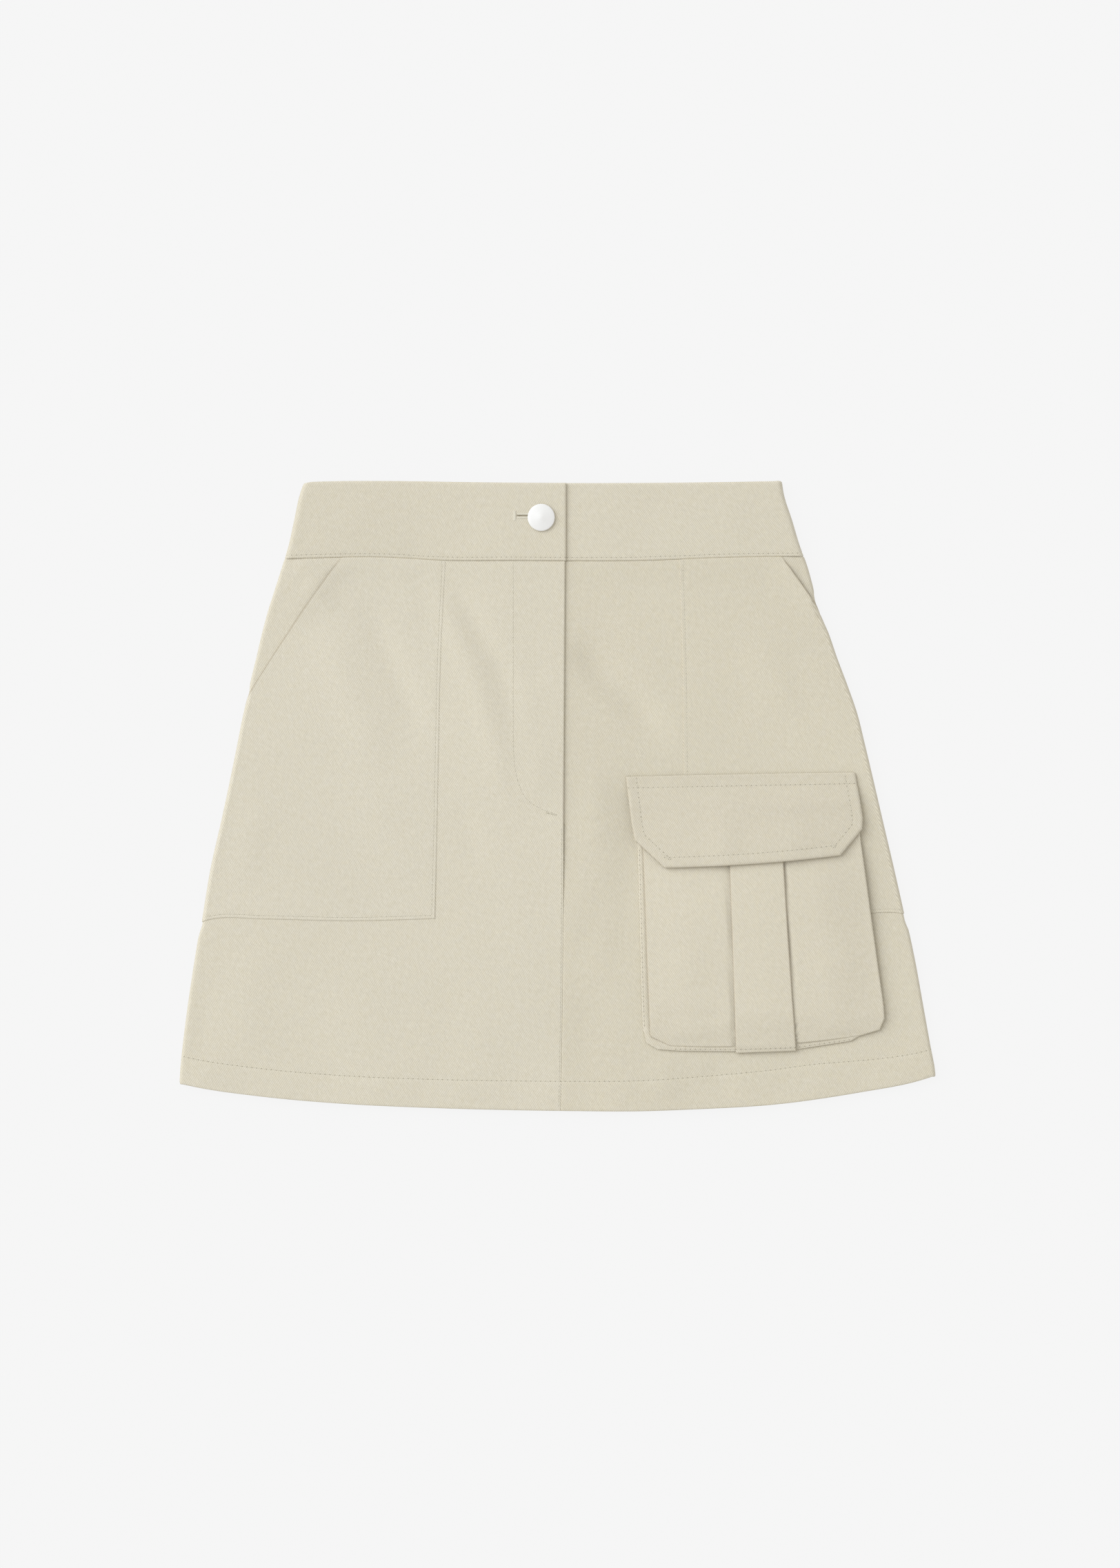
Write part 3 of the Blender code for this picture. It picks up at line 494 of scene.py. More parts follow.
twill = {
    "pitch": 1.05,                      # from rib to rib
    "wander": [(240.0, 0.38), (900.0, 0.15)],   # how ribs stray: scale of the noise and size
    "pick": 0.62,                       # from one weft yarn to the next, along a rib
    "pickLean": 0.55,                   # how the picks step from rib to rib
    "rib": (0.815, 0.768, 0.640),       # top of a rib
    "groove": (0.563, 0.517, 0.406),    # between ribs
    "painted_shade": (0.30, 0.235, 0.15),     # painted shade, deep between two layers
    "ribShare": 0.67, "pickShare": 0.10, "fineShare": 0.23, "fineScale": 2600.0,
    "slub": 0.62,                       # contrast of the thick places in the yarn
    "slubScale": 900.0, "slubStretch": 0.28,
    "warm": 0.36, "warmScale": 300.0,   # how much the colour's strength varies
    "shade": 0.045, "shadeScale": 9.0,  # how much broad patches vary
    "relief": 0.09,                     # rib to groove
    "bump": 0.8,
    "finish": {"Roughness": 0.93, "Specular IOR Level": 0.2, "Sheen Weight": 0.12,
               "Sheen Roughness": 0.6},
}


def twillMaterial(name, recipe, tone=(1.0, 1.0, 1.0)):
    material, tree, shader = newMaterial(name)
    links = tree.links
    uv = tree.nodes.new("ShaderNodeUVMap")
    uv.uv_map = "cloth"
    split = tree.nodes.new("ShaderNodeSeparateXYZ")
    links.new(uv.outputs[0], split.inputs[0])
    across, along = split.outputs[0], split.outputs[1]
    # ribs wander a little, as yarn does
    strayed = across
    for scale, size in recipe["wander"]:
        strayed = weighed(tree, strayed, noiseAt(tree, uv.outputs[0], scale, 1.0), size * mm)
    rib = waveOf(tree, strayed, recipe["pitch"])
    # each rib is a row of short yarn floats
    pick = waveOf(tree, weighed(tree, along, across, recipe["pickLean"]), recipe["pick"])
    fine = noiseAt(tree, uv.outputs[0], recipe["fineScale"])
    stretch = tree.nodes.new("ShaderNodeMapping")      # slubs run along the yarn
    stretch.inputs["Scale"].default_value = (1.0, recipe["slubStretch"], 1.0)
    links.new(uv.outputs[0], stretch.inputs["Vector"])
    slub = evenNoise(tree, stretch.outputs[0], recipe["slubScale"], 2.0)
    height = sumOf(tree, "MULTIPLY", rib, recipe["ribShare"])
    height = weighed(tree, height, pick, recipe["pickShare"])
    height = weighed(tree, height, fine, recipe["fineShare"])
    # colour: paler on the ribs, with slubs and broad soft patches
    clamp = tree.nodes.new("ShaderNodeClamp")
    links.new(weighed(tree, height, slub, recipe["slub"]), clamp.inputs["Value"])
    cloth = mixColours(tree, clamp.outputs[0], tinted(recipe["groove"], tone),
                       tinted(recipe["rib"], tone))
    place = tree.nodes.new("ShaderNodeNewGeometry").outputs["Position"]
    patches = tree.nodes.new("ShaderNodeHueSaturation")
    shade = evenNoise(tree, place, recipe["shadeScale"], 3.0)
    links.new(weighed(tree, 1.0, shade, 2 * recipe["shade"]), patches.inputs["Value"])
    warm = evenNoise(tree, place, recipe["warmScale"], 4.0)
    links.new(weighed(tree, 1.0, warm, recipe["warm"]), patches.inputs["Saturation"])
    links.new(cloth, patches.inputs["Color"])
    # painted shade: dark brown mixed in by the amount each point carries
    paintedShadeNode = tree.nodes.new("ShaderNodeAttribute")
    paintedShadeNode.attribute_name = "painted_shade"
    links.new(mixColours(tree, paintedShadeNode.outputs["Fac"], patches.outputs[0], recipe["painted_shade"]),
              shader.inputs["Base Color"])
    addBump(tree, shader, height, recipe["bump"], recipe["relief"])
    finishOf(shader, recipe["finish"])
    return material


sewingThread = {"plyScale": 3500.0, "bump": 0.5, "relief": 0.05,
                "finish": {"Roughness": 0.7, "Sheen Weight": 0.1}}


def threadMaterial(name, colour, twist):
    material, tree, shader = newMaterial(name)
    place = tree.nodes.new("ShaderNodeNewGeometry").outputs["Position"]
    ply = noiseAt(tree, place, sewingThread["plyScale"], 1.0)
    dark = tuple(c * (1 - twist) for c in colour)
    tree.links.new(mixColours(tree, ply, dark, colour), shader.inputs["Base Color"])
    addBump(tree, shader, ply, sewingThread["bump"], sewingThread["relief"])
    finishOf(shader, sewingThread["finish"])
    return material


bodyCloth = twillMaterial("beige twill", twill)
# the left front and left pocket are made a little lighter and bluer; the right front, cargo
# pocket and flap a little darker
leftCloth = twillMaterial("beige twill left front", twill, (1.015, 1.017, 1.022))
pocketCloth = twillMaterial("beige twill left pocket", twill, (1.02, 1.024, 1.035))
rightCloth = twillMaterial("beige twill right front", twill, (0.985, 0.982, 0.972))
cargoCloth = twillMaterial("beige twill cargo pocket", twill, (0.995, 0.99, 0.985))
flapCloth = twillMaterial("beige twill flap", twill, (0.94, 0.933, 0.927))
threadCloth = threadMaterial("beige sewing thread", (0.70, 0.66, 0.54), 0.25)
purlThread = threadMaterial("pale buttonhole thread", (0.80, 0.765, 0.645), 0.12)
# painted shade at the stitch holes, as small dark discs
holeShadeCloth = threadMaterial("painted needle-hole shade", (0.40, 0.36, 0.27), 0.2)
print("materials made")


# Fronts

sheetGrid = {   # distances in from an edge, dense where it folds or is stitched
    "edge": [0.0, 0.25, 0.5, 0.8, 1.2, 1.7, 2.35, 3.0, 4.0, 5.5],
    "hem": [0.0, 0.25, 0.5, 0.8, 1.2, 1.8, 2.6, 4.0, 6.0, 8.5, 11.0, 13.5, 15.5, 17.0,
            18.0, 18.8, 19.6, 20.4, 21.2, 22.0, 22.8, 23.6, 24.4, 25.4, 27.0],
    "waist": [8.0, 5.0, 3.5, 2.6, 2.1, 1.7, 1.4, 1.1, 0.8, 0.4, 0.0],
    "frontAcross": 84,
    "frontUp": 96,
    "rollSteps": 8,
    "cloth": 0.8,
    "patch": 0.45,
    "doubled": 1.7,
    "tuck": 1.4,            # how far the panels run in under the waistband
    "tuckDepth": 1.85,
    "stitchIn": 2.35,       # rows of stitching, in from a sewn edge
}
front = {
    "leftGrain": 30.5, "rightGrain": 29.0,
    "hemRound": (1.4, 0.8), "sideRound": (0.6, 0.35),   # radius and depth of the folded edges
    "flyRound": 0.9,
    "lap": 1.3,             # how far the right front runs in under the left one below the fly
    "lapDip": 0.95,         # and how far down
}


def innerEdge(side, y):
    if side == "left":
        return centreX(y)
    return between(centreX(y) - front["lap"], skirt["flyExtension"], eased(y, -19, -14))


def placeAcross(start, stop):
    # dense beside the start, then even up to the stop; start and stop vary with the row
    near = sheetGrid["edge"]
    first = [start + np.sign(stop - start) * d for d in near]
    rest = [between(first[-1], stop, t) for t in shares(0, 1, sheetGrid["frontAcross"])]
    return np.stack(first + rest + [stop], axis=-1)


def rowsUp(low, high, near, count):  # dense beside the hem and the waist, even between
    near, upper = np.array(near), np.array(sheetGrid["waist"])
    rows = [low + d for d in near]
    rows += [between(low + near[-1], high - upper[0], t) for t in shares(0, 1, count)]
    return np.stack(rows + [high - d for d in upper])


def rollAngles(side):  # the left front stops at the side fold, the right one goes right round it
    steps = sheetGrid["rollSteps"]
    if side == "left":
        return [math.pi / 2 * k / steps for k in range(1, steps)] + [math.pi / 2 - 0.05]
    return [math.pi * k / (2 * steps) for k in range(1, 2 * steps + 1)]


def frontPanel(side):
    roll = sign(side) * skirt["bodyHeight"] / 2
    hemX = placeAcross(innerEdge(side, -208.0), foldX(side, -190.0) - roll)
    topX = placeAcross(innerEdge(side, 155.0), foldX(side, 156.0) - roll)
    y = rowsUp(hemY(hemX), waistY(topX) + sheetGrid["tuck"], sheetGrid["hem"],
               sheetGrid["frontUp"])
    x = np.empty_like(y)
    for c in range(y.shape[1]):
        x[:, c] = placeAcross(innerEdge(side, y[:, c]), foldX(side, y[:, c]) - roll)[:, c]
    z = bodyTop(x, y)
    if side == "left":
        z = z + flyRise(x, y)
    else:
        inside = centreX(y) + 0.2 - x
        z = z - front["lapDip"] * eased(inside, 0.0, 0.8) * eased(y, -14, -19)
    edgeY = y[:, -1]
    bends = [(angle, 0.0) for angle in rollAngles(side)]
    if side == "right":
        wrap = readCurve(wrapRows, "y", edgeY, "wrap")
        bends += [(math.pi, wrap * t) for t in (0.15, 0.4, 0.65, 0.85, 1.0)]
    rolled = [rollPoints(side, edgeY, angle, 0.0, far) for angle, far in bends]
    extra = np.stack([np.stack([rx, edgeY, rz], axis=-1) for rx, rz in rolled], axis=1)
    grid = np.concatenate([np.stack([x, y, z], axis=-1), extra], axis=1)
    return grid[:, ::-1] if side == "left" else grid


def hemmed(grid, side):
    return roundBorders(roundBorders(grid, ["bottom"], *front["hemRound"]), [side],
                        *front["sideRound"])


frontLeftGrid = hemmed(frontPanel("left"), "left")
flyDrop = foldDrop(borderDistance(frontLeftGrid, ["right"]), front["flyRound"])
flyDrop = flyDrop * between(0.22, 1.0, eased(frontLeftGrid[..., 1], -40, -14))
frontLeftGrid[..., 2] -= flyDrop
frontLeftGrid = tucked(frontLeftGrid, sheetGrid["tuckDepth"])
frontLeft = makeCloth("front_left_cloth", frontLeftGrid,
                      clothUV(frontLeftGrid, -1, front["leftGrain"]), sheetGrid["cloth"],
                      leftCloth)
frontRightGrid = tucked(hemmed(frontPanel("right"), "right"), sheetGrid["tuckDepth"])
frontRight = makeCloth("front_right_cloth", frontRightGrid,
                       clothUV(frontRightGrid, 0, front["rightGrain"]), sheetGrid["cloth"],
                       rightCloth)
print("fronts made")


# Back: one plain piece with two darts

backPiece = {
    "shorter": 1.5, "across": 90, "up": 66, "grain": -30.0,
    "near": [0.0, 0.3, 0.6, 1.0, 2.0, 5.0, 10.0, 15.0, 17.5, 19.0, 20.5, 23.0],
    "seamSide": [4.0, 2.6, 2.0, 1.6, 1.3, 1.0, 0.7, 0.4, 0.0],
    "dartLength": 95.0, "dartAt": (-78.0, 66.0), "dartWidth": 1.1, "dartDepth": 0.30,
    "sideTurns": [1.15, 1.3, 1.42, 1.52, 1.62, 1.75, 1.95, 2.2, 2.5, 2.8],
    "seamUnder": 1.3,       # how far it runs in under the right front at their seam
    "seamDip": 0.9,         # how far its seam edges lie inside the fronts
    "hemRound": (0.8, 0.7), "tuckDepth": 1.8,
}


def backEnds(leftY, rightY):
    roll = skirt["bodyHeight"] / 2
    wrap = readCurve(wrapRows, "y", rightY, "wrap") - backPiece["seamUnder"]
    return foldX("left", leftY) + roll, foldX("right", rightY) - roll - wrap


def backPanel():
    edge = np.array(backPiece["seamSide"]) / 400
    t = np.concatenate([np.linspace(0, 1 - edge[0], backPiece["across"])[:-1], 1 - edge])
    low = hemY(between(*backEnds(-190.0, -186.0), t)) + backPiece["shorter"]
    high = waistY(between(*backEnds(156.0, 158.0), t)) + sheetGrid["tuck"]
    y = rowsUp(low, high, backPiece["near"], backPiece["up"])
    start, stop = backEnds(y[:, :1], y[:, -1:])
    x = between(start, stop, t[None, :])
    z = np.zeros_like(x)
    for at in backPiece["dartAt"]:
        down = (waistY(np.full_like(x, at)) - y) / backPiece["dartLength"]
        near = bell(x - at - at * 0.06 * down, backPiece["dartWidth"])
        z += backPiece["dartDepth"] * near * eased(down, 1.0, 0.7)
    z = z + backPiece["seamDip"] * eased(stop - x, 1.75, 0.95)
    leftY = y[:, 0]
    side = []
    for angle in backPiece["sideTurns"]:
        lift = -backPiece["seamDip"] * float(eased(angle, 1.68, 1.48))
        rx, rz = rollPoints("left", leftY, angle, lift)
        side.append(np.stack([rx, leftY, rz], axis=-1))
    grid = np.concatenate([np.stack(side, axis=1), np.stack([x, y, z], axis=-1)], axis=1)
    return grid[:, ::-1]


backGrid = tucked(roundBorders(backPanel(), ["bottom"], *backPiece["hemRound"]),
                  backPiece["tuckDepth"])
back = makeCloth("back_cloth", backGrid, clothUV(backGrid, 0, backPiece["grain"]),
                 sheetGrid["cloth"], bodyCloth)
print("back made")


# Waistband: one strip folded along its top edge, its left end lapped over the right

band = {
    "acrossUnder": 70, "acrossBack": 70, "acrossOver": 76, "up": 16, "rollSteps": 10,
    "depth": 51.5,
    "topShare": 0.92,       # how much nearer the middle a place on its top is than on its seam
    "foldAt": {"left": -176.0, "right": 160.0},
    "upper": [5.0, 3.5, 2.4, 1.6, 1.0, 0.6, 0.3, 0.1, 0.0],     # down from its top fold
    "underNear": [0.0, 0.25, 0.5, 0.8, 1.2, 2.0, 4.0],          # in from its end underneath
    "overNear": [8.0, 5.0, 3.0, 2.0, 1.4, 0.9, 0.6, 0.35, 0.15, 0.0],   # and from the other
    "grain": {"left": 28.0, "right": 36.5},
    "edgeRadius": 1.5, "edgeDepth": 1.15,
    "groove": 0.14, "grooveWidth": 0.8,
}
bandCreases = [
    crease([(-172, 182), (-168, 166)], 6.0, -0.35, 0.2),
    crease([(-96, 172), (-94, 158)], 6.0, -0.25, 0.5, 0),
    crease([(-60, 206), (-58, 160)], 12.0, -0.2),
    crease([(60, 204), (64, 160)], 16.0, -0.25),
    crease([(112, 200), (118, 164)], 10.0, 0.25),
    crease([(-130, 200), (-132, 170)], 14.0, 0.25),
    crease([(-11, 196), (-11, 172)], 14.0, -0.25),
]


def bandLine(x, share):
    low = readCurve(waistRows, "x", x, "y")
    high = readCurve(topRows, "x", x * band["topShare"], "y")
    return between(low, high, share)


def bandGrid():
    # from the end underneath, round the back, to the end that laps over it
    lower = [d / band["depth"] for d in sheetGrid["edge"]]
    upper = [1 - d / band["depth"] for d in band["upper"]]
    share = np.array(lower + list(shares(lower[-1], upper[0], band["up"])) + upper)
    height, radius, grain = skirt["bandHeight"], skirt["bandHeight"] / 2, band["grain"]
    rightY, leftY = (bandLine(band["foldAt"][side], share) for side in ("right", "left"))
    right, left = foldX("right", rightY), foldX("left", leftY)
    columns, angles = [], []

    def lay(x, y, z, angle):
        columns.append(np.stack([x, y, z + 0 * share], axis=-1))
        angles.append(angle)

    def layFlat(x, level, angle, relief=0.0):
        x = x + 0 * share
        y = bandLine(x, share)
        lay(x, y, level + creaseHeight(x, y, bandCreases) * relief, angle)

    def layRolled(side, fold, y, start):
        for k in range(band["rollSteps"] + 1):
            turn = math.pi * abs(start - k / band["rollSteps"])
            x = fold - sign(side) * radius * (1 - math.sin(turn))
            lay(x, y, radius + radius * math.cos(turn), grain[side])

    for d in band["underNear"]:
        layFlat(skirt["underEnd"] + d, height, grain["right"])
    for t in shares(0, 1, band["acrossUnder"]):
        x = between(skirt["underEnd"] + band["underNear"][-1], right - radius, t)
        layFlat(x, height, grain["right"], eased(x, -10, 14) * eased(t, 1.0, 0.93))
    layRolled("right", right, rightY, 0)
    for t in shares(0, 1, band["acrossBack"]):
        x = between(right - radius, left + radius, t)
        layFlat(x, 0.0, between(grain["right"], grain["left"], t))
    layRolled("left", left, leftY, 1)
    for t in shares(0, 1, band["acrossOver"]):
        x = between(left + radius, skirt["overEnd"] - band["overNear"][0], t)
        rise = skirt["bandLift"] * eased(x, -98, -26)
        layFlat(x, height + rise, grain["left"], eased(t, 0.0, 0.06))
    for d in band["overNear"]:
        layFlat(skirt["overEnd"] - d, height + skirt["bandLift"], grain["left"], 1.0)
    return np.stack(columns, axis=1), np.array(angles)


bandPoints, bandAngles = bandGrid()
overColumns = len(bandAngles) - band["acrossOver"] - len(band["overNear"]) - 2
gapLow, gapHigh = (np.linalg.norm((bandPoints - border)[..., 1:], axis=2)
                   for border in (bandPoints[:1], bandPoints[-1:]))
gapEnd = np.abs(bandPoints[..., 0] - skirt["overEnd"])
gapEnd[:, :overColumns] = np.inf
bandGap = np.minimum(np.minimum(gapLow, gapHigh * 0.8), gapEnd)
bandDrop = band["edgeDepth"] * foldDrop(bandGap, band["edgeRadius"])
bandDrop += band["groove"] * bell(gapLow - sheetGrid["stitchIn"], band["grooveWidth"])
bandPoints = bandPoints - gridNormals(bandPoints) * bandDrop[..., None]
bandAlong = clothRun(bandPoints)
# the weave keeps its lean round the back
overRun = bandAlong[:, -1:] - bandAlong[:, -1:].mean()
roundBack = eased(np.arange(len(bandAngles)), band["acrossUnder"] + len(band["underNear"]),
                  overColumns)
bandAlong = bandAlong - overRun * roundBack[None, :]
waistband = makeCloth("waistband_cloth", bandPoints,
                      turnedUV(bandAlong, bandPoints[..., 1], bandAngles[None, :]),
                      sheetGrid["doubled"], bodyCloth)
print("waistband made")


def applyAll(piece):  # the finished mesh in place of its modifiers
    graph = bpy.context.evaluated_depsgraph_get()
    made = bpy.data.meshes.new_from_object(piece.evaluated_get(graph))
    piece.modifiers.clear()
    old = piece.data
    piece.data = made
    bpy.data.meshes.remove(old)


def cutAway(piece, outline, low, high):  # a hole of this outline, right through
    work = bmesh.new()
    face = work.faces.new([work.verts.new((x * mm, y * mm, low * mm)) for x, y in outline])
    grown = bmesh.ops.extrude_face_region(work, geom=[face])["geom"]
    top = [item for item in grown if isinstance(item, bmesh.types.BMVert)]
    bmesh.ops.translate(work, verts=top, vec=(0, 0, (high - low) * mm))
    bmesh.ops.recalc_face_normals(work, faces=work.faces)
    mesh = bpy.data.meshes.new("cutter")
    work.to_mesh(mesh)
    work.free()
    cutter = linkNew("cutter", mesh)
    boolean = piece.modifiers.new("cut", "BOOLEAN")
    boolean.operation = "DIFFERENCE"
    boolean.object = cutter
    applyAll(piece)
    bpy.data.objects.remove(cutter, do_unlink=True)


buttonhole = {
    "left": -26.6, "y": 185.3, "halfWidth": 0.38,
    "button": (-10.8, 184.1), "shank": 2.6,
    "cut": (6.25, 9.5),     # from here to here in height
}


def slitOutline():  # a narrow slit that widens round the shank
    buttonX, buttonY = buttonhole["button"]
    upper = []
    for k in range(13):
        t = k / 12
        x = between(buttonhole["left"], buttonX - 1.5, t)
        y = between(buttonhole["y"], buttonY, eased(t, 0.5, 1.0))
        width = buttonhole["halfWidth"] * min(1.0, 3.5 * math.sqrt(t + 0.01))
        width += (buttonhole["shank"] - 0.7) * float(eased(t, 0.55, 1.0))
        upper.append((x, float(y), width))
    end = []
    for k in range(9):
        angle = math.radians(-110 + 220 * k / 8)
        end.append((buttonX + buttonhole["shank"] * math.cos(angle),
                    buttonY + buttonhole["shank"] * math.sin(angle)))
    lower = [(x, y - width) for x, y, width in upper]
    above = [(x, y + width) for x, y, width in upper][::-1]
    return lower + end + above


applyAll(waistband)
cutAway(waistband, slitOutline(), *buttonhole["cut"])
print("buttonhole cut")


# Patch pockets

patch = {
    "across": 60, "up": 70,
    "grain": {"left": 29.0, "right": 31.0},
    "gape": {"left": 1.1, "right": 1.3},            # how far the mouth stands open
    "edgeRadius": {"left": 0.9, "right": 0.35},     # the right pocket lies pressed flatter
    "edgeDepth": 0.5, "groove": 0.06,
    "mouthRadius": 0.3, "mouthPaintedShade": 0.6,
}


def mouthY(side, out):
    beyond = out - mouth[side]
    t = np.clip(beyond / mouth["reach"], 0, 1)
    line = mouth["top"] - mouth["slope"] * beyond + mouth["bow"] * 4 * t * (1 - t)
    return np.where(beyond <= 0, 999.0, line)


def pocketAt(side, column, y):  # place across, distance out along the cloth, turn and wrap
    s = sign(side)
    inner = readCurve(pocketInnerRows[side], "y", y, "x")
    stop = foldX(side, y) - s * skirt["bodyHeight"] / 2
    kind, value = column
    if kind == "edge":
        x = inner + s * value
    elif kind == "share":
        x = between(inner + s * sheetGrid["edge"][-1], stop, value)
    else:
        x = stop
    angle = {"roll": value, "wrap": math.pi}.get(kind, 0.0)
    out = np.abs(x - centreX(y)) + angle * skirt["bodyHeight"] / 2
    wrap = 0.0
    if kind == "wrap":
        wrap = value * (readCurve(wrapRows, "y", y, "wrap") - 0.3)
    return x, out + wrap, angle, wrap


def mouthGape(side, x, y):
    out = np.abs(x - centreX(y))
    line = mouthY(side, np.maximum(out, mouth[side] + 0.01))
    near = bell(line - y, 16.0) * eased(out, mouth[side] - 12, mouth[side] + 3)
    return patch["gape"][side] * near * eased(y, 156, 148) * eased(y, 108, 132)


def pocketTop(side, column):  # where this column meets the mouth or the waist
    low, high = -50.0, 160.0
    for _ in range(26):
        middle = (low + high) / 2
        x, out, _, _ = pocketAt(side, column, middle)
        if middle > min(float(mouthY(side, out)), float(waistY(x)) + 1.0):
            high = middle
        else:
            low = middle
    return low


def patchPocket(side):
    s = sign(side)
    columns = [("edge", d) for d in sheetGrid["edge"]]
    columns += [("share", t) for t in shares(0, 1, patch["across"])] + [("share", 1.0)]
    columns += [("roll", angle) for angle in rollAngles(side)]
    if side == "right":
        columns += [("wrap", t) for t in (0.2, 0.5, 0.8, 1.0)]
    near = np.array(sheetGrid["edge"])
    made = []
    for column in columns:
        top = pocketTop(side, column)
        flatX, _, angle, _ = pocketAt(side, column, -80.0)
        at = flatX + s * 4 * math.sin(min(angle, math.pi / 2))
        bottom = float(readCurve(pocketBottomRows[side], "x", at, "y"))
        middle = between(bottom + near[-1], top - near[-1], shares(0, 1, patch["up"]))
        y = np.concatenate([bottom + near, middle, (top - near)[::-1]])
        x, out, angle, wrap = pocketAt(side, column, y)
        if angle == 0.0:
            z = bodyTop(x, y) + skirt["pocketLift"] + mouthGape(side, x, y)
        else:
            x, z = rollPoints(side, y, angle, skirt["pocketLift"] + 0.1, wrap)
        made.append(np.stack([x, y, z, centreX(y) + s * out], axis=-1))
    grid = np.stack(made, axis=1)
    if side == "left":
        grid = grid[:, ::-1]
    return grid[..., :3], grid[..., 3]


def makePatch(side, material):
    grid, along = patchPocket(side)
    sewn = ["bottom", "right" if side == "left" else "left"]
    grid = roundBorders(grid, sewn, patch["edgeRadius"][side], patch["edgeDepth"],
                        (sheetGrid["stitchIn"],), patch["groove"])
    mouthOnly = eased(waistY(grid[..., 0]) - grid[..., 1], 0.5, 2.5)
    rounded = roundBorders(grid, ["top"], patch["mouthRadius"], patch["edgeDepth"])
    grid = between(grid, rounded, mouthOnly[..., None])
    x, y, z = np.moveaxis(grid, -1, 0)
    toMouth = (mouthY(side, np.abs(x - centreX(y))) - y) / 1.8
    # painted shade along the mouth's edge, where it stands open
    dark = patch["mouthPaintedShade"] * bell(toMouth, 0.55) * mouthOnly * (z > 3.2)
    uv = turnedUV(along, y, patch["grain"][side])
    grid = tucked(grid, sheetGrid["tuckDepth"])
    name = f"patch_pocket_{side}_cloth"
    return grid, makeCloth(name, grid, uv, sheetGrid["patch"], material, painted_shade=dark)


pocketLeftGrid, pocketLeft = makePatch("left", pocketCloth)
pocketRightGrid, pocketRight = makePatch("right", rightCloth)
print("patch pockets made")


# Cargo pocket

cargo = {
    "edgeHeight": 5.6,      # how thick the pocket is
    "crown": 1.0,
    "pleatLift": 1.2,
    "pleatCrown": 0.35,
    "pleatTail": 1.2,       # how far the pleat's lower end turns down
    "fold": 1.3,            # dip beside the pleat
    "cloth": 0.8,
    "edgeRound": (1.0, 0.9),
    "width": 150.0, "columns": 70, "step": 2.0,
    "pleatWidth": 38.0, "pleatColumns": 16, "pleatStep": 2.5,
    "dark": (0.35, 0.6), "pleatPaintedShade": (0.4, 0.5),       # painted shade beside the edges: strength and width
    "grain": 34.0, "pleatGrain": 35.8, "gussetGrain": 32.0,
}
flapPiece = {
    "cloth": 1.7,
    "kick": 1.5,            # how far its lower edge stands off
    "overPleat": 1.2,
    "row": 7.0, "groove": 0.12,             # its stitching, in from the edge
    "topRow": 7.7, "topGroove": 0.2,
    "edgeRound": (2.0, 1.3), "topRound": (1.4, 1.2),
    "width": 150.0, "columns": 64, "step": 1.6,
    # dark: painted shade beside its left edge, strength and width
    "dark": (0.25, 0.5),
    "grain": 31.7,
}

cargoRows = rowsOf("left leftY right rightY bow", [
    (74.1, -165.3, 200.0, -158.5, 3.0), (60.9, -158.9, 213.0, -154.6, 2.0),
    (60.6, -150.0, 216.1, -147.0, 1.0), (60.2, -138.0, 215.5, -138.0, 0.4),
    (59.0, -110.0, 211.5, -110.0, 0.0), (57.9, -78.0, 207.0, -78.0, 0.0),
    (56.6, -44.0, 202.1, -42.0, 0.0), (55.2, -8.0, 197.0, -6.0, 0.0),
])
pleatRows = rowsOf("left leftY right rightY bow", [
    (117.6, -169.9, 157.8, -168.6, 0.0), (117.5, -164.0, 157.4, -162.6, 0.0),
    (116.6, -138.0, 155.4, -138.0, 0.0), (115.0, -90.0, 152.0, -90.0, 0.0),
    (113.3, -46.0, 149.3, -46.0, 0.0), (112.0, -9.4, 147.0, -9.0, 0.0),
])
flapRows = rowsOf("left leftY right rightY bow", [
    (70.5, -47.4, 186.7, -39.1, 1.5), (50.8, -29.0, 201.2, -21.7, 1.0),
    (48.8, -18.0, 201.7, -14.5, 0.7), (47.4, -7.0, 200.3, -5.0, 0.4),
    (46.2, 2.0, 198.8, 4.0, 0.1), (45.4, 8.5, 197.6, 11.0, 0.0), (44.9, 13.0, 196.8, 15.8, -0.3),
])
# foot on the skirt and edge of the pocket front, down one side and up the other
gussetRows = rowsOf("footX footY edgeX edgeY", [
    (51.6, -7.0, 55.2, -8.0), (53.2, -36.0, 56.3, -36.0), (54.4, -80.0, 58.0, -80.0),
    (55.6, -130.0, 59.8, -130.0), (56.4, -152.0, 60.7, -152.0), (58.6, -163.0, 62.6, -159.8),
    (66.0, -167.4, 69.0, -163.0), (80.0, -168.4, 80.0, -165.7), (117.0, -168.8, 117.0, -165.6),
    (157.0, -167.6, 157.0, -163.6), (194.0, -161.8, 194.0, -159.0),
    (204.0, -155.4, 208.0, -156.2), (210.0, -149.0, 215.2, -150.0),
    (211.2, -140.0, 215.8, -140.0), (207.2, -110.0, 211.5, -110.0), (203.6, -84.0, 207.9, -84.0),
    (200.2, -60.0, 204.5, -60.0), (196.0, -32.0, 200.6, -32.0), (192.6, -7.0, 197.0, -6.0),
])
cargoCreases = [
    crease([(64, -143), (80, -145), (100, -146), (116, -145)], 5.0, -0.75),
    crease([(70, -156), (86, -158), (104, -158)], 4.5, 0.35),
    crease([(70, -70), (90, -62), (108, -56)], 9.0, -0.35),
    crease([(166, -120), (184, -112), (200, -104)], 12.0, 0.3),
    crease([(160, -150), (182, -146), (206, -140)], 8.0, -0.3),
    crease([(84, -100), (90, -128)], 12.0, 0.35),
]
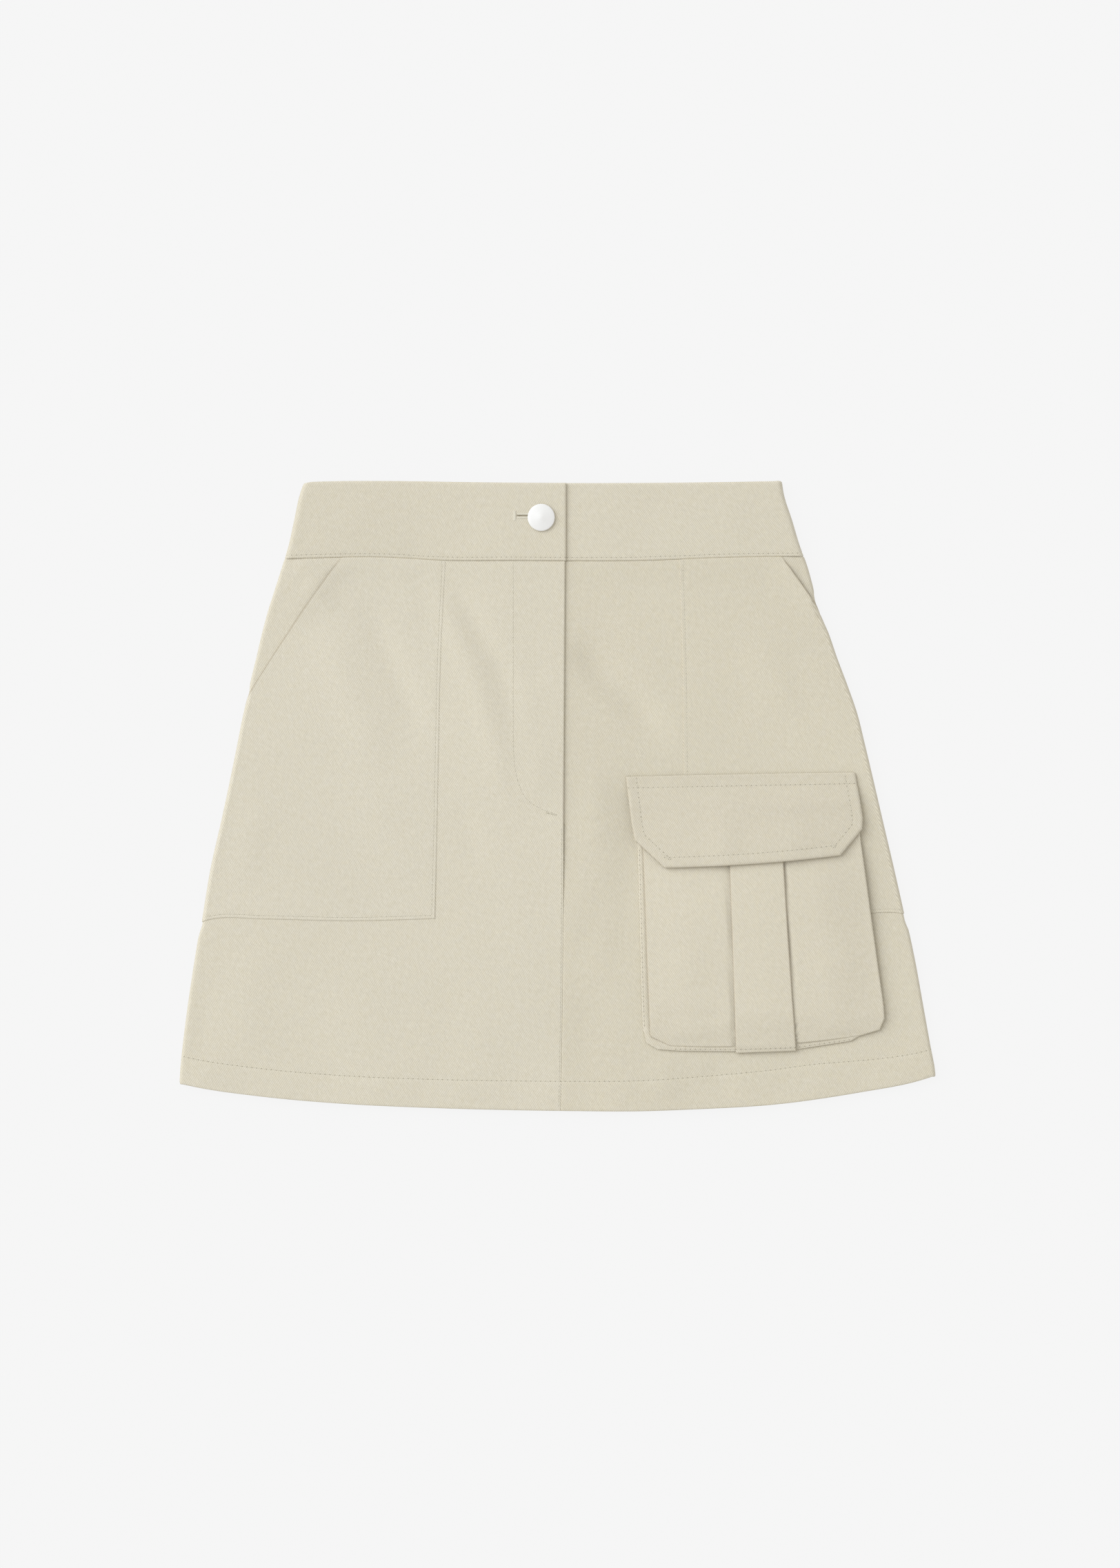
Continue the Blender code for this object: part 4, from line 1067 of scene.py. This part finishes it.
flapCreases = [
    crease([(60, -10), (110, -16), (150, -8), (190, -12)], 10.0, 0.3),
    crease([(122, -40), (126, -20)], 9.0, -0.3, 0.1),
    crease([(84, -40), (80, -22)], 8.0, -0.25, 0.1),
    crease([(168, -34), (164, -16)], 8.0, 0.25, 0.1),
]


def tableEdges(rows, y):
    return readRows(rows, "leftY", y, "left"), readRows(rows, "rightY", y, "right")


def skirtTop(x, y):
    edge = readCurve(pocketInnerRows["right"], "y", y, "x")
    over = eased(x, edge - 5, edge - 0.5) * eased(y, -87, -80.5)
    return bodyTop(x, y) + skirt["patchHeight"] * over


def besidePleat(x, y):  # the front folds in under both edges of its pleat
    left, right = tableEdges(pleatRows, y)
    return bell(np.minimum(np.abs(x - left + 0.3), np.abs(x - right - 0.3)), 0.95)


def plateTop(x, y):
    overPatch = eased(x, 48, 118) * eased(y, -130, -50)
    across = np.clip(np.abs(x - 135) / 78, 0, 1)
    along = np.clip((y + 165) / 60, 0, 1)
    crown = (1 - across**2) * (1 - (1 - along) ** 2)
    left, right = tableEdges(cargoRows, y)
    full = between(0.32, 1.0, eased(y, 2, -56))          # slimmer at the top, under the flap
    full = full * between(0.45, 1.0, eased(y, -169, -142))
    full = full * between(0.84, 1.0, eased(x - left, -1, 30))
    full = full * between(0.60, 1.0, eased(right - x, -1, 36))
    height = skirt["bodyHeight"] + skirt["patchHeight"] * overPatch + cargo["edgeHeight"] * full
    height = height - cargo["fold"] * besidePleat(x, y)
    return height + cargo["crown"] * crown + creaseHeight(x, y, cargoCreases)


def pleatTop(x, y):
    height = plateTop(x, y) + cargo["fold"] * besidePleat(x, y)
    height = height + cargo["pleatLift"] * between(0.3, 1, eased(y, 0, -30))
    height = height + cargo["pleatCrown"] * np.sin(math.pi * pleatAcross)[None, :]
    return height - cargo["pleatTail"] * eased(y, -164, -169.5)


def flapTop(x, y):
    overPleat = eased(x, 92, 112) * eased(x, 172, 152)
    over = plateTop(x, y) + 0.4 + flapPiece["cloth"]
    over = over + flapPiece["overPleat"] * overPleat * between(0.3, 1, eased(y, 0, -30))
    over = over + 0.7 * eased(x, 54, 44) * eased(y, 4, -20) + creaseHeight(x, y, flapCreases)
    over = over + flapPiece["kick"] * eased(y, -8, -42) + cargo["fold"] * besidePleat(x, y)
    sewn = bodyTop(x, y) + 0.7 * eased(x, 60, 78) + 0.2 + flapPiece["cloth"]
    return between(sewn, over, eased(y, 15, -8))


def denseShares(length, near, count):  # dense beside both ends
    first = [d / length for d in near]
    last = [1 - t for t in first[::-1]]
    return np.array(first + list(shares(first[-1], 1 - first[-1], count)) + last)


def upSteps(rows, spacing, nearLow, nearHigh):
    # places up a table, evenly spaced and dense beside its ends
    total = runOf(np.abs(np.diff([row["leftY"] for row in rows])), 0)
    inner = np.arange(nearLow[-1], total[-1] - nearHigh[-1], spacing)
    places = sorted({*nearLow, *inner, *(total[-1] - d for d in nearHigh), *total})
    return np.interp(places, total, np.arange(len(rows)))


def tableGrid(rows, across, up, heightOf):
    # rows of the table joined straight, with points up them at these parts of their number
    keys = np.arange(len(rows))
    left, leftY, right, rightY, bow = (
        np.interp(up, keys, [row[name] for row in rows])[:, None]
        for name in ("left", "leftY", "right", "rightY", "bow"))
    t = across[None, :]
    x = between(left, right, t)
    y = between(leftY, rightY, t) - bow * (1 - (2 * t - 1) ** 2)
    return np.stack([x, y, heightOf(x, y)], axis=-1)


def flatUV(grid, angle, shift=0.0):
    return turnedUV(grid[..., 0] + shift, grid[..., 1], angle)


# painted shade, strongest at these borders and dying away inward
def edgePaintedShade(grid, names, strength, width):
    return strength * bell(borderDistance(grid, names), width)


near = sheetGrid["edge"]
nearRow = near + [7.0, 8.2]
threeSides = ["left", "bottom", "right"]
plateGrid = tableGrid(cargoRows, denseShares(cargo["width"], near, cargo["columns"]),
                      upSteps(cargoRows, cargo["step"], near, [0.0]), plateTop)
plateGrid = roundBorders(plateGrid, threeSides, *cargo["edgeRound"])
cargoFront = makeCloth("cargo_pocket_front_cloth", plateGrid, flatUV(plateGrid, cargo["grain"]),
                       cargo["cloth"], cargoCloth,
                       painted_shade=edgePaintedShade(plateGrid, ["left"], *cargo["dark"]))

pleatAcross = denseShares(cargo["pleatWidth"], near[:8], cargo["pleatColumns"])
pleatGrid = tableGrid(pleatRows, pleatAcross,
                      upSteps(pleatRows, cargo["pleatStep"], near, [0.0]), pleatTop)
pleatGrid = roundBorders(pleatGrid, threeSides, *cargo["edgeRound"])
pleat = makeCloth("cargo_box_pleat_cloth", pleatGrid,
                  flatUV(pleatGrid, cargo["pleatGrain"], 3.1), cargo["cloth"], cargoCloth,
                  painted_shade=edgePaintedShade(pleatGrid, ["left", "right"], *cargo["pleatPaintedShade"]))

flapGrid = tableGrid(flapRows, denseShares(flapPiece["width"], nearRow, flapPiece["columns"]),
                     upSteps(flapRows, flapPiece["step"], nearRow, near), flapTop)
flapGrid = roundBorders(flapGrid, threeSides, *flapPiece["edgeRound"], (flapPiece["row"],),
                        flapPiece["groove"])
flapGrid = roundBorders(flapGrid, ["top"], *flapPiece["topRound"], (flapPiece["topRow"],),
                        flapPiece["topGroove"])
flap = makeCloth("cargo_flap_cloth", flapGrid, flatUV(flapGrid, flapPiece["grain"]),
                 flapPiece["cloth"], flapCloth,
                 painted_shade=edgePaintedShade(flapGrid, ["left"], *flapPiece["dark"]))


def gussetSection(row, before, after):
    # from its foot on the skirt, in under the pocket and up to the front's edge
    alongX = after["edgeX"] - before["edgeX"]
    alongY = after["edgeY"] - before["edgeY"]
    length = math.hypot(alongX, alongY)
    inX, inY = -alongY / length, alongX / length
    footInset = (row["footX"] - row["edgeX"]) * inX + (row["footY"] - row["edgeY"]) * inY
    deep = max(footInset, 0.0) + 2.6
    under = float(plateTop(row["edgeX"], row["edgeY"])) - 1.8
    foot = float(skirtTop(row["footX"], row["footY"])) + 0.85

    def inward(distance, height):
        return (row["edgeX"] + inX * distance, row["edgeY"] + inY * distance, height)

    x, y, _ = inward(deep, 0)
    low = float(skirtTop(x, y)) + 1.0
    return [
        (row["footX"], row["footY"], foot),
        inward(between(footInset, deep - 1.2, 0.5), max(low, foot) + 0.25),
        inward(deep - 1.2, max(low, foot) + 0.1),
        inward(deep, between(low, under, 0.35)),
        inward(deep - 0.6, between(low, under, 0.75)),
        inward(1.2, under),
    ]


def gussetGridOf(rows):  # the table's rows, with more between them
    fine = []
    for a, b in zip(rows, rows[1:]):
        count = int(math.dist((a["edgeX"], a["edgeY"]), (b["edgeX"], b["edgeY"])) / 3.0)
        count = max(2, count)
        fine += [{key: between(a[key], b[key], k / count) for key in a} for k in range(count)]
    fine.append(rows[-1])
    last = len(fine) - 1
    rough = np.array([gussetSection(row, fine[max(index - 2, 0)], fine[min(index + 2, last)])
                      for index, row in enumerate(fine)])
    slopes = np.gradient(rough, axis=1)
    places = np.linspace(0, 5, 26)
    k = np.clip(places.astype(int), 0, 4)
    t = (places - k)[None, :, None]
    return hermite(rough[:, k], rough[:, k + 1], slopes[:, k], slopes[:, k + 1], t)[:, ::-1]


gussetPoints = gussetGridOf(gussetRows)
gusset = makeCloth("cargo_gusset_cloth", gussetPoints,
                   flatUV(gussetPoints, cargo["gussetGrain"]), cargo["cloth"], cargoCloth,
                   offset=0.0)
print("cargo pocket made")


# Rows of stitching

stitch = {
    "pitch": 3.25, "length": 2.6, "width": 0.40, "proud": -0.08,
    "closeProud": 0.14,     # in the buttonhole and the bar tack
    "plain": 0.76,          # dark discs of painted shade at each stitch hole: size across
    "fine": 0.48,           # where the holes hardly show
    "holeLift": 0.04,
    "ring": 6, "holeRing": 8,
    # along, girth and rise, from end to end
    "stations": [(-0.5, 0.25, -0.30), (-0.40, 0.75, 0.0), (-0.2, 1.0, 0.85), (0.0, 1.0, 1.0),
                 (0.2, 1.0, 0.85), (0.40, 0.75, 0.0), (0.5, 0.25, -0.30)],
}


def surfaceOf(*pieces):
    graph = bpy.context.evaluated_depsgraph_get()
    return [BVHTree.FromObject(piece, graph) for piece in pieces]


def dropOnto(trees, x, y, below=False):  # the first cloth met from above, or from below
    start = Vector((x * mm, y * mm, -0.05 if below else 0.05))
    way = Vector((0, 0, 1 if below else -1))
    best = None
    for tree in trees:
        place, normal, _, gap = tree.ray_cast(start, way)
        if place is not None and (best is None or gap < best[2]):
            best = (place, normal, gap)
    if best is None:
        return None
    return np.array(best[0]) / mm, np.array(best[1])


def resample(path, pitch):
    path = np.array(path, float)
    along = runOf(np.hypot(*np.diff(path[:, :2], axis=0).T), 0)
    count = max(int(round(along[-1] / pitch)), 1)
    at = np.linspace(0, along[-1], count + 1)
    return np.stack([np.interp(at, along, path[:, 0]), np.interp(at, along, path[:, 1])], axis=1)


def ringTurns(count):
    return [2 * math.pi * k / count for k in range(count)]


def oneStitch(a, b, up, width, proud):
    # a short length of thread that dips into the cloth at both ends
    length = np.linalg.norm(b - a)
    way = unit(b - a)
    side = unit(np.cross(up, way))
    up = np.cross(way, side)
    middle = (a + b) / 2
    points = []
    for along, girth, rise in stitch["stations"]:
        centre = middle + way * along * length + up * (proud * rise)
        for turn in ringTurns(stitch["ring"]):
            points.append(centre + side * (math.cos(turn) * width / 2 * girth)
                          + up * (math.sin(turn) * width * 0.42 * girth))
    return points


def stitchFaces(base):
    ring, last = stitch["ring"], len(stitch["stations"]) - 1
    faces = []
    for a in range(base, base + last * ring, ring):
        for k in range(ring):
            n = (k + 1) % ring
            faces.append((a + k, a + n, a + ring + n, a + ring + k))
    faces.append(tuple(base + k for k in range(ring))[::-1])
    faces.append(tuple(base + last * ring + k for k in range(ring)))
    return faces


# a small dark disc of painted shade, where the thread goes into the cloth
def holeShadeDisc(place, up, size):
    side = unit(np.cross(up, (1.0, 0.0, 0.0)))
    ahead = np.cross(side, up)
    centre = place + up * stitch["holeLift"]
    return [centre + (side * math.sin(turn) * 0.85 + ahead * math.cos(turn)) * size / 2
            for turn in ringTurns(stitch["holeRing"])]


def threadPiece(name, points, faces, marks, materials):
    mesh = bpy.data.meshes.new(name)
    mesh.from_pydata((np.array(points) * mm).tolist(), [], faces)
    for material in materials:
        mesh.materials.append(material)
    mesh.polygons.foreach_set("material_index", marks)
    mesh.shade_smooth()
    mesh.update()
    piece = linkNew(name, mesh)
    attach(piece, "root")
    return piece


def sewRows(name, paths, surfaces, below=False, hole="plain"):
    keep = stitch["length"] / stitch["pitch"]
    trees = surfaceOf(*surfaces)
    points, faces, marks = [], [], []
    for path in paths:
        landed = [dropOnto(trees, x, y, below) for x, y in resample(path, stitch["pitch"])]
        for one, two in zip(landed, landed[1:]):
            if one is None or two is None:
                continue
            (a, upA), (b, upB) = one, two
            if np.linalg.norm(b - a) > stitch["pitch"] * 1.8:
                continue
            middle, half = (a + b) / 2, (b - a) / 2 * keep
            made = stitchFaces(len(points))
            points += oneStitch(middle - half, middle + half, unit(upA + upB), stitch["width"],
                                stitch["proud"])
            faces += made
            marks += [0] * len(made)
        for place, up in filter(None, landed):
            faces.append(tuple(len(points) + k for k in range(stitch["holeRing"])))
            points += holeShadeDisc(place, up, stitch[hole])
            marks.append(1)
    return threadPiece(name, points, faces, marks, [threadCloth, holeShadeCloth])


def curvePath(start, stop, count, lineOf):
    return [(float(x), float(lineOf(x))) for x in np.linspace(start, stop, count)]


def hemStitchY(x):
    return hemY(x) + readCurve(hemStitchRows, "x", x, "depth")


def hemBackY(x):
    return hemY(x) + backPiece["shorter"] + 18.8


def bandStitchY(x):
    return waistY(x) + sheetGrid["stitchIn"]


def insetPath(grid, name, distance):
    # a row of stitching this far inside a border, worked out in plan
    border = borderPath(grid, name)
    keep = [border[0]]
    for point in border[1:]:
        if np.hypot(*(point - keep[-1])) > 1.2:
            keep.append(point)
    path = np.array(keep)
    ahead = np.gradient(path, axis=0)
    ahead = ahead / np.linalg.norm(ahead, axis=1, keepdims=True)
    inward = np.stack([-ahead[:, 1], ahead[:, 0]], axis=1)
    half = len(path) // 2
    middle = grid[..., :2].reshape(-1, 2).mean(axis=0)
    if ((middle - path[half]) * inward[half]).sum() < 0:
        inward = -inward
    # at a corner the moved points cross over: those nearer than the distance are dropped
    moved = path + inward * distance
    gap, _ = awayFrom(moved[:, 0], moved[:, 1], keep)
    return [tuple(point) for point in moved[gap > distance * 0.97]]


def patchRows(grid):  # along its inner edge and its bottom, as far as the side fold
    flat = grid[:, :len(sheetGrid["edge"]) + patch["across"] + 1]
    return [insetPath(flat, name, sheetGrid["stitchIn"])[2:] for name in ("left", "bottom")]


centreSeam = [(float(centreX(y)) - 1.4, y) for y in np.linspace(-22, -205, 40)]
flyCurve = [(-29.4, 154.0), (-29.4, 60.0), (-29.4, 34.0), (-28.6, 20.0), (-26.6, 11.0),
            (-23.5, 2.1), (-20.8, -1.6), (-17.6, -4.6), (-11.5, -8.3), (-3.4, -11.2),
            (-0.8, -12.2)]
flapSides = [insetPath(flapGrid, name, flapPiece["row"]) for name in threeSides]
flapPerimeter = flapSides[0][::-1] + flapSides[1] + flapSides[2]
flapTopRow = list(zip(np.linspace(47, 196, 60), np.linspace(5.4, 8.3, 60)))
gussetEdge = [(row["footX"] + 0.9, row["footY"] + 0.1) for row in gussetRows[1:5]]
gussetBottom = curvePath(78, 196, 50, lambda x: np.interp(
    x, [80, 117, 157, 194], [-167.3, -167.6, -166.3, -160.9]))

frontStitches = sewRows("hem_stitching", [curvePath(-247, 247, 120, hemStitchY)],
                        [frontLeft, frontRight])
flyStitches = sewRows("fly_stitching", [flyCurve], [frontLeft], hole="fine")
seamStitches = sewRows("centre_seam_stitching", [centreSeam], [frontLeft],
                       hole="fine")
bandStitches = sewRows("waistband_stitching",
                       [curvePath(-179, 5.0, 80, bandStitchY),
                        curvePath(6.4, 162, 70, bandStitchY)], [waistband])
bandBackStitches = sewRows("waistband_back_stitching", [curvePath(-177, 160, 90, bandStitchY)],
                           [waistband], below=True)
pocketLeftStitches = sewRows("patch_pocket_left_stitching", patchRows(pocketLeftGrid[:, ::-1]),
                             [pocketLeft], hole="fine")
pocketRightStitches = sewRows("patch_pocket_right_stitching", patchRows(pocketRightGrid),
                              [pocketRight], hole="fine")
flapStitches = sewRows("cargo_flap_stitching", [flapPerimeter, flapTopRow], [flap])
cargoStitches = sewRows("cargo_pocket_stitching", [gussetEdge, gussetBottom], [gusset, pleat])
pleatStitches = sewRows("cargo_box_pleat_stitching", [[(118.2, -167.5), (157.2, -166.2)]],
                        [pleat])
backStitches = sewRows("back_stitching", [curvePath(-245, 240, 110, hemBackY)],
                       [back, frontRight], below=True)
print("stitching made")


# Buttonhole stitching and bar tack

purl = {"step": 0.42, "width": 0.52, "depth": 2.0, "jitter": 0.12, "endHalf": 3.0}
barTack = {"count": 7, "step": (1.0, -0.25), "start": (-7.6, -10.4), "stop": (-6.9, -11.7),
           "width": 0.5}


def closeStitches(name, pairs, surface, width, thread=threadCloth):
    trees = surfaceOf(surface)
    points, faces = [], []
    for pair in pairs:
        one, two = [dropOnto(trees, x, y) for x, y in pair]
        if one is None or two is None:
            continue
        (a, upA), (b, upB) = one, two
        if abs(a[2] - b[2]) > 0.8:
            b = np.array([b[0], b[1], a[2]])
            upB = upA
        faces += stitchFaces(len(points))
        points += oneStitch(a, b, unit(upA + upB), width, stitch["closeProud"])
    return threadPiece(name, points, faces, [0] * len(faces), [thread])


def purlPairs():  # along both sides of the slit and across its end
    pairs = []
    slitY = buttonhole["y"]
    for x in np.arange(buttonhole["left"] + 0.2, buttonhole["button"][0] - 4.0, purl["step"]):
        for s in (1, -1):
            outer = purl["depth"] + purl["jitter"] * math.sin(7.0 * x + s)
            pairs.append(((x, slitY + s * 0.50), (x + 0.1, slitY + s * outer)))
    x = buttonhole["left"] - 0.6
    for y in np.arange(-purl["endHalf"], purl["endHalf"] + 0.01, purl["step"]):
        pairs.append(((x, slitY + y), (x - 2.2, slitY + y + 0.15)))
    return pairs


def tackPairs():
    (ax, ay), (bx, by), (dx, dy) = barTack["start"], barTack["stop"], barTack["step"]
    return [((ax + dx * k, ay + dy * k), (bx + dx * k, by + dy * k))
            for k in range(barTack["count"])]


closeStitches("buttonhole_stitching", purlPairs(), waistband, purl["width"],
              purlThread)
closeStitches("fly_bar_tack", tackPairs(), frontLeft, barTack["width"])
print("buttonhole and bar tack made")


# Button: spun metal cap over the shank

buttonMetal = {
    "colour": (0.93, 0.93, 0.92), "dull": 0.93, "grainScale": 4000.0,
    "ringScale": 900.0, "ringWobble": 1.5, "ringShare": 0.4,    # marks of the turning
    "bump": 0.06, "relief": 0.03,
    "finish": {"Metallic": 0.15, "Roughness": 0.48},
}
cap = {
    "seat": 0.3,            # above the lapped end, and the shank's foot above the end under it
    "shank": 1.3, "collar": 2.2, "coneRadius": 7.7, "coneHeight": 1.15,
    "rim": 8.35, "rimAcross": 0.65, "rimUp": 0.69, "top": 1.60, "steps": 96,
}


def satinMetal(name, recipe):
    material, tree, shader = newMaterial(name)
    place = tree.nodes.new("ShaderNodeTexCoord").outputs["Object"]
    rings = tree.nodes.new("ShaderNodeTexWave")
    rings.wave_type = "RINGS"
    rings.rings_direction = "Z"
    rings.inputs["Scale"].default_value = recipe["ringScale"]
    rings.inputs["Distortion"].default_value = recipe["ringWobble"]
    tree.links.new(place, rings.inputs["Vector"])
    grain = noiseAt(tree, place, recipe["grainScale"])
    height = weighed(tree, grain, rings.outputs["Fac"], recipe["ringShare"])
    addBump(tree, shader, height, recipe["bump"], recipe["relief"])
    dull = tuple(c * recipe["dull"] for c in recipe["colour"])
    tree.links.new(mixColours(tree, grain, dull, recipe["colour"]), shader.inputs["Base Color"])
    finishOf(shader, recipe["finish"])
    return material


def turnedMesh(name, profile, steps, material, at):
    mesh = bpy.data.meshes.new(name)
    work = bmesh.new()
    verts = [work.verts.new((r * mm, 0, z * mm)) for r, z in profile]
    edges = [work.edges.new(pair) for pair in zip(verts, verts[1:])]
    bmesh.ops.spin(work, geom=verts + edges, axis=(0, 0, 1), cent=(0, 0, 0), steps=steps,
                   angle=2 * math.pi, use_merge=True)
    bmesh.ops.remove_doubles(work, verts=work.verts, dist=1e-7)
    bmesh.ops.recalc_face_normals(work, faces=work.faces)
    work.to_mesh(mesh)
    work.free()
    mesh.materials.append(material)
    mesh.shade_smooth()
    piece = linkNew(name, mesh)
    piece.location = [c * mm for c in at]
    return piece


def capProfile():
    foot = skirt["bandHeight"] + cap["seat"]
    seat = foot + skirt["bandLift"]
    profile = [(0.0, foot + 1.6), (cap["shank"], foot + 1.6), (cap["shank"], foot),
               (cap["collar"], foot), (cap["collar"], seat), (7.6, seat), (8.3, seat + 0.06)]
    for k in range(9):  # rolled rim
        turn = math.pi * k / 8
        profile.append((cap["rim"] + cap["rimAcross"] * math.sin(turn),
                        seat + 0.75 - cap["rimUp"] * math.cos(turn)))
    profile += [(8.05, seat + 1.50), (cap["coneRadius"], seat + cap["top"])]
    for k in range(1, 13):  # shallow cone, eased at its point
        share = 1 - k / 12
        rise = cap["coneHeight"] * (1 - math.sqrt(share**2 + 0.012)) / 0.95
        profile.append((cap["coneRadius"] * share, seat + cap["top"] + rise))
    return profile


steel = satinMetal("satin silver metal", buttonMetal)
button = turnedMesh("button_cap", capProfile(), cap["steps"], steel, (*buttonhole["button"], 0))
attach(button, "root")
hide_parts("button")
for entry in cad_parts["button_tack"].material_slots:
    entry.material = steel
print("button made")


# Each sheet hangs under the root in place of its solid, which is hidden

declare(frontLeft, "front_left")
declare(frontRight, "front_right")
declare(back, "back")
declare(waistband, "waistband")
declare(pocketLeft, "patch_pocket_left")
declare(pocketRight, "patch_pocket_right")
declare(gusset, "cargo_gusset")
declare(cargoFront, "cargo_pocket_front")
declare(pleat, "cargo_box_pleat")
declare(flap, "cargo_flap")
print("sheets declared")


# Floor, light and camera, in metres

studio = {"world": 0.668, "worldColour": (1.0, 0.985, 0.955)}
floorLook = {"size": 3.0, "below": 0.0006, "tone": 0.05, "glow": 0.92}
view = {"long": 1.0370, "place": (0.0016, 0.0080), "height": 3.2, "top": 0.005, "sensor": 36.0}
lamps = [  # tilt from straight down, from round from the right-hand side
    {"name": "large soft light", "strength": 1.55, "tilt": 50, "from": 150, "softness": 50,
     "colour": (0.93, 0.96, 1.0)},
    {"name": "low side light", "strength": 0.36, "tilt": 72, "from": 168, "softness": 30,
     "colour": (0.96, 0.98, 1.0)},
]


def makeFloor():
    size, low, tone = floorLook["size"], -floorLook["below"], floorLook["tone"]
    mesh = bpy.data.meshes.new("floor")
    mesh.from_pydata([(-size, -size, low), (size, -size, low), (size, size, low),
                      (-size, size, low)], [], [(0, 1, 2, 3)])
    material, tree, shader = newMaterial("pale floor")
    place = tree.nodes.new("ShaderNodeNewGeometry").outputs["Position"]
    tree.links.new(mixColours(tree, noiseAt(tree, place, 40.0), (tone,) * 3, (tone * 1.02,) * 3),
                   shader.inputs["Base Color"])
    finishOf(shader, {"Roughness": 1.0, "Specular IOR Level": 0.0,
                      "Emission Color": (1.0, 1.0, 1.0, 1.0),
                      "Emission Strength": floorLook["glow"] - tone})
    mesh.materials.append(material)
    floor = linkNew("floor", mesh)


def hangLamp(lamp):
    data = bpy.data.lights.new(lamp["name"], "SUN")
    data.energy = lamp["strength"]
    data.color = lamp["colour"]
    data.angle = math.radians(lamp["softness"])
    light = linkNew(lamp["name"], data)
    tilt, turn = math.radians(lamp["tilt"]), math.radians(lamp["from"])
    place = Vector((math.sin(tilt) * math.cos(turn), math.sin(tilt) * math.sin(turn),
                    math.cos(tilt)))
    light.location = place * 2.0
    light.rotation_euler = place.to_track_quat("Z", "Y").to_euler()


def makeStudio():
    scene = bpy.context.scene
    world = bpy.data.worlds.new("studio")
    world.use_nodes = True
    glow = world.node_tree.nodes["Background"]
    glow.inputs["Color"].default_value = (*studio["worldColour"], 1.0)
    glow.inputs["Strength"].default_value = studio["world"]
    scene.world = world
    for lamp in lamps:
        hangLamp(lamp)
    scene.view_settings.view_transform = "Standard"


def makeCamera():
    data = bpy.data.cameras.new("camera")
    data.sensor_width = view["sensor"]
    data.lens = view["sensor"] * (view["height"] - view["top"]) / view["long"]
    camera = linkNew("camera", data)
    camera.location = (*view["place"], view["height"])
    camera.rotation_euler = (0.0, 0.0, 0.0)
    bpy.context.scene.camera = camera


makeFloor()
makeStudio()
makeCamera()
print("floor, light and camera made")
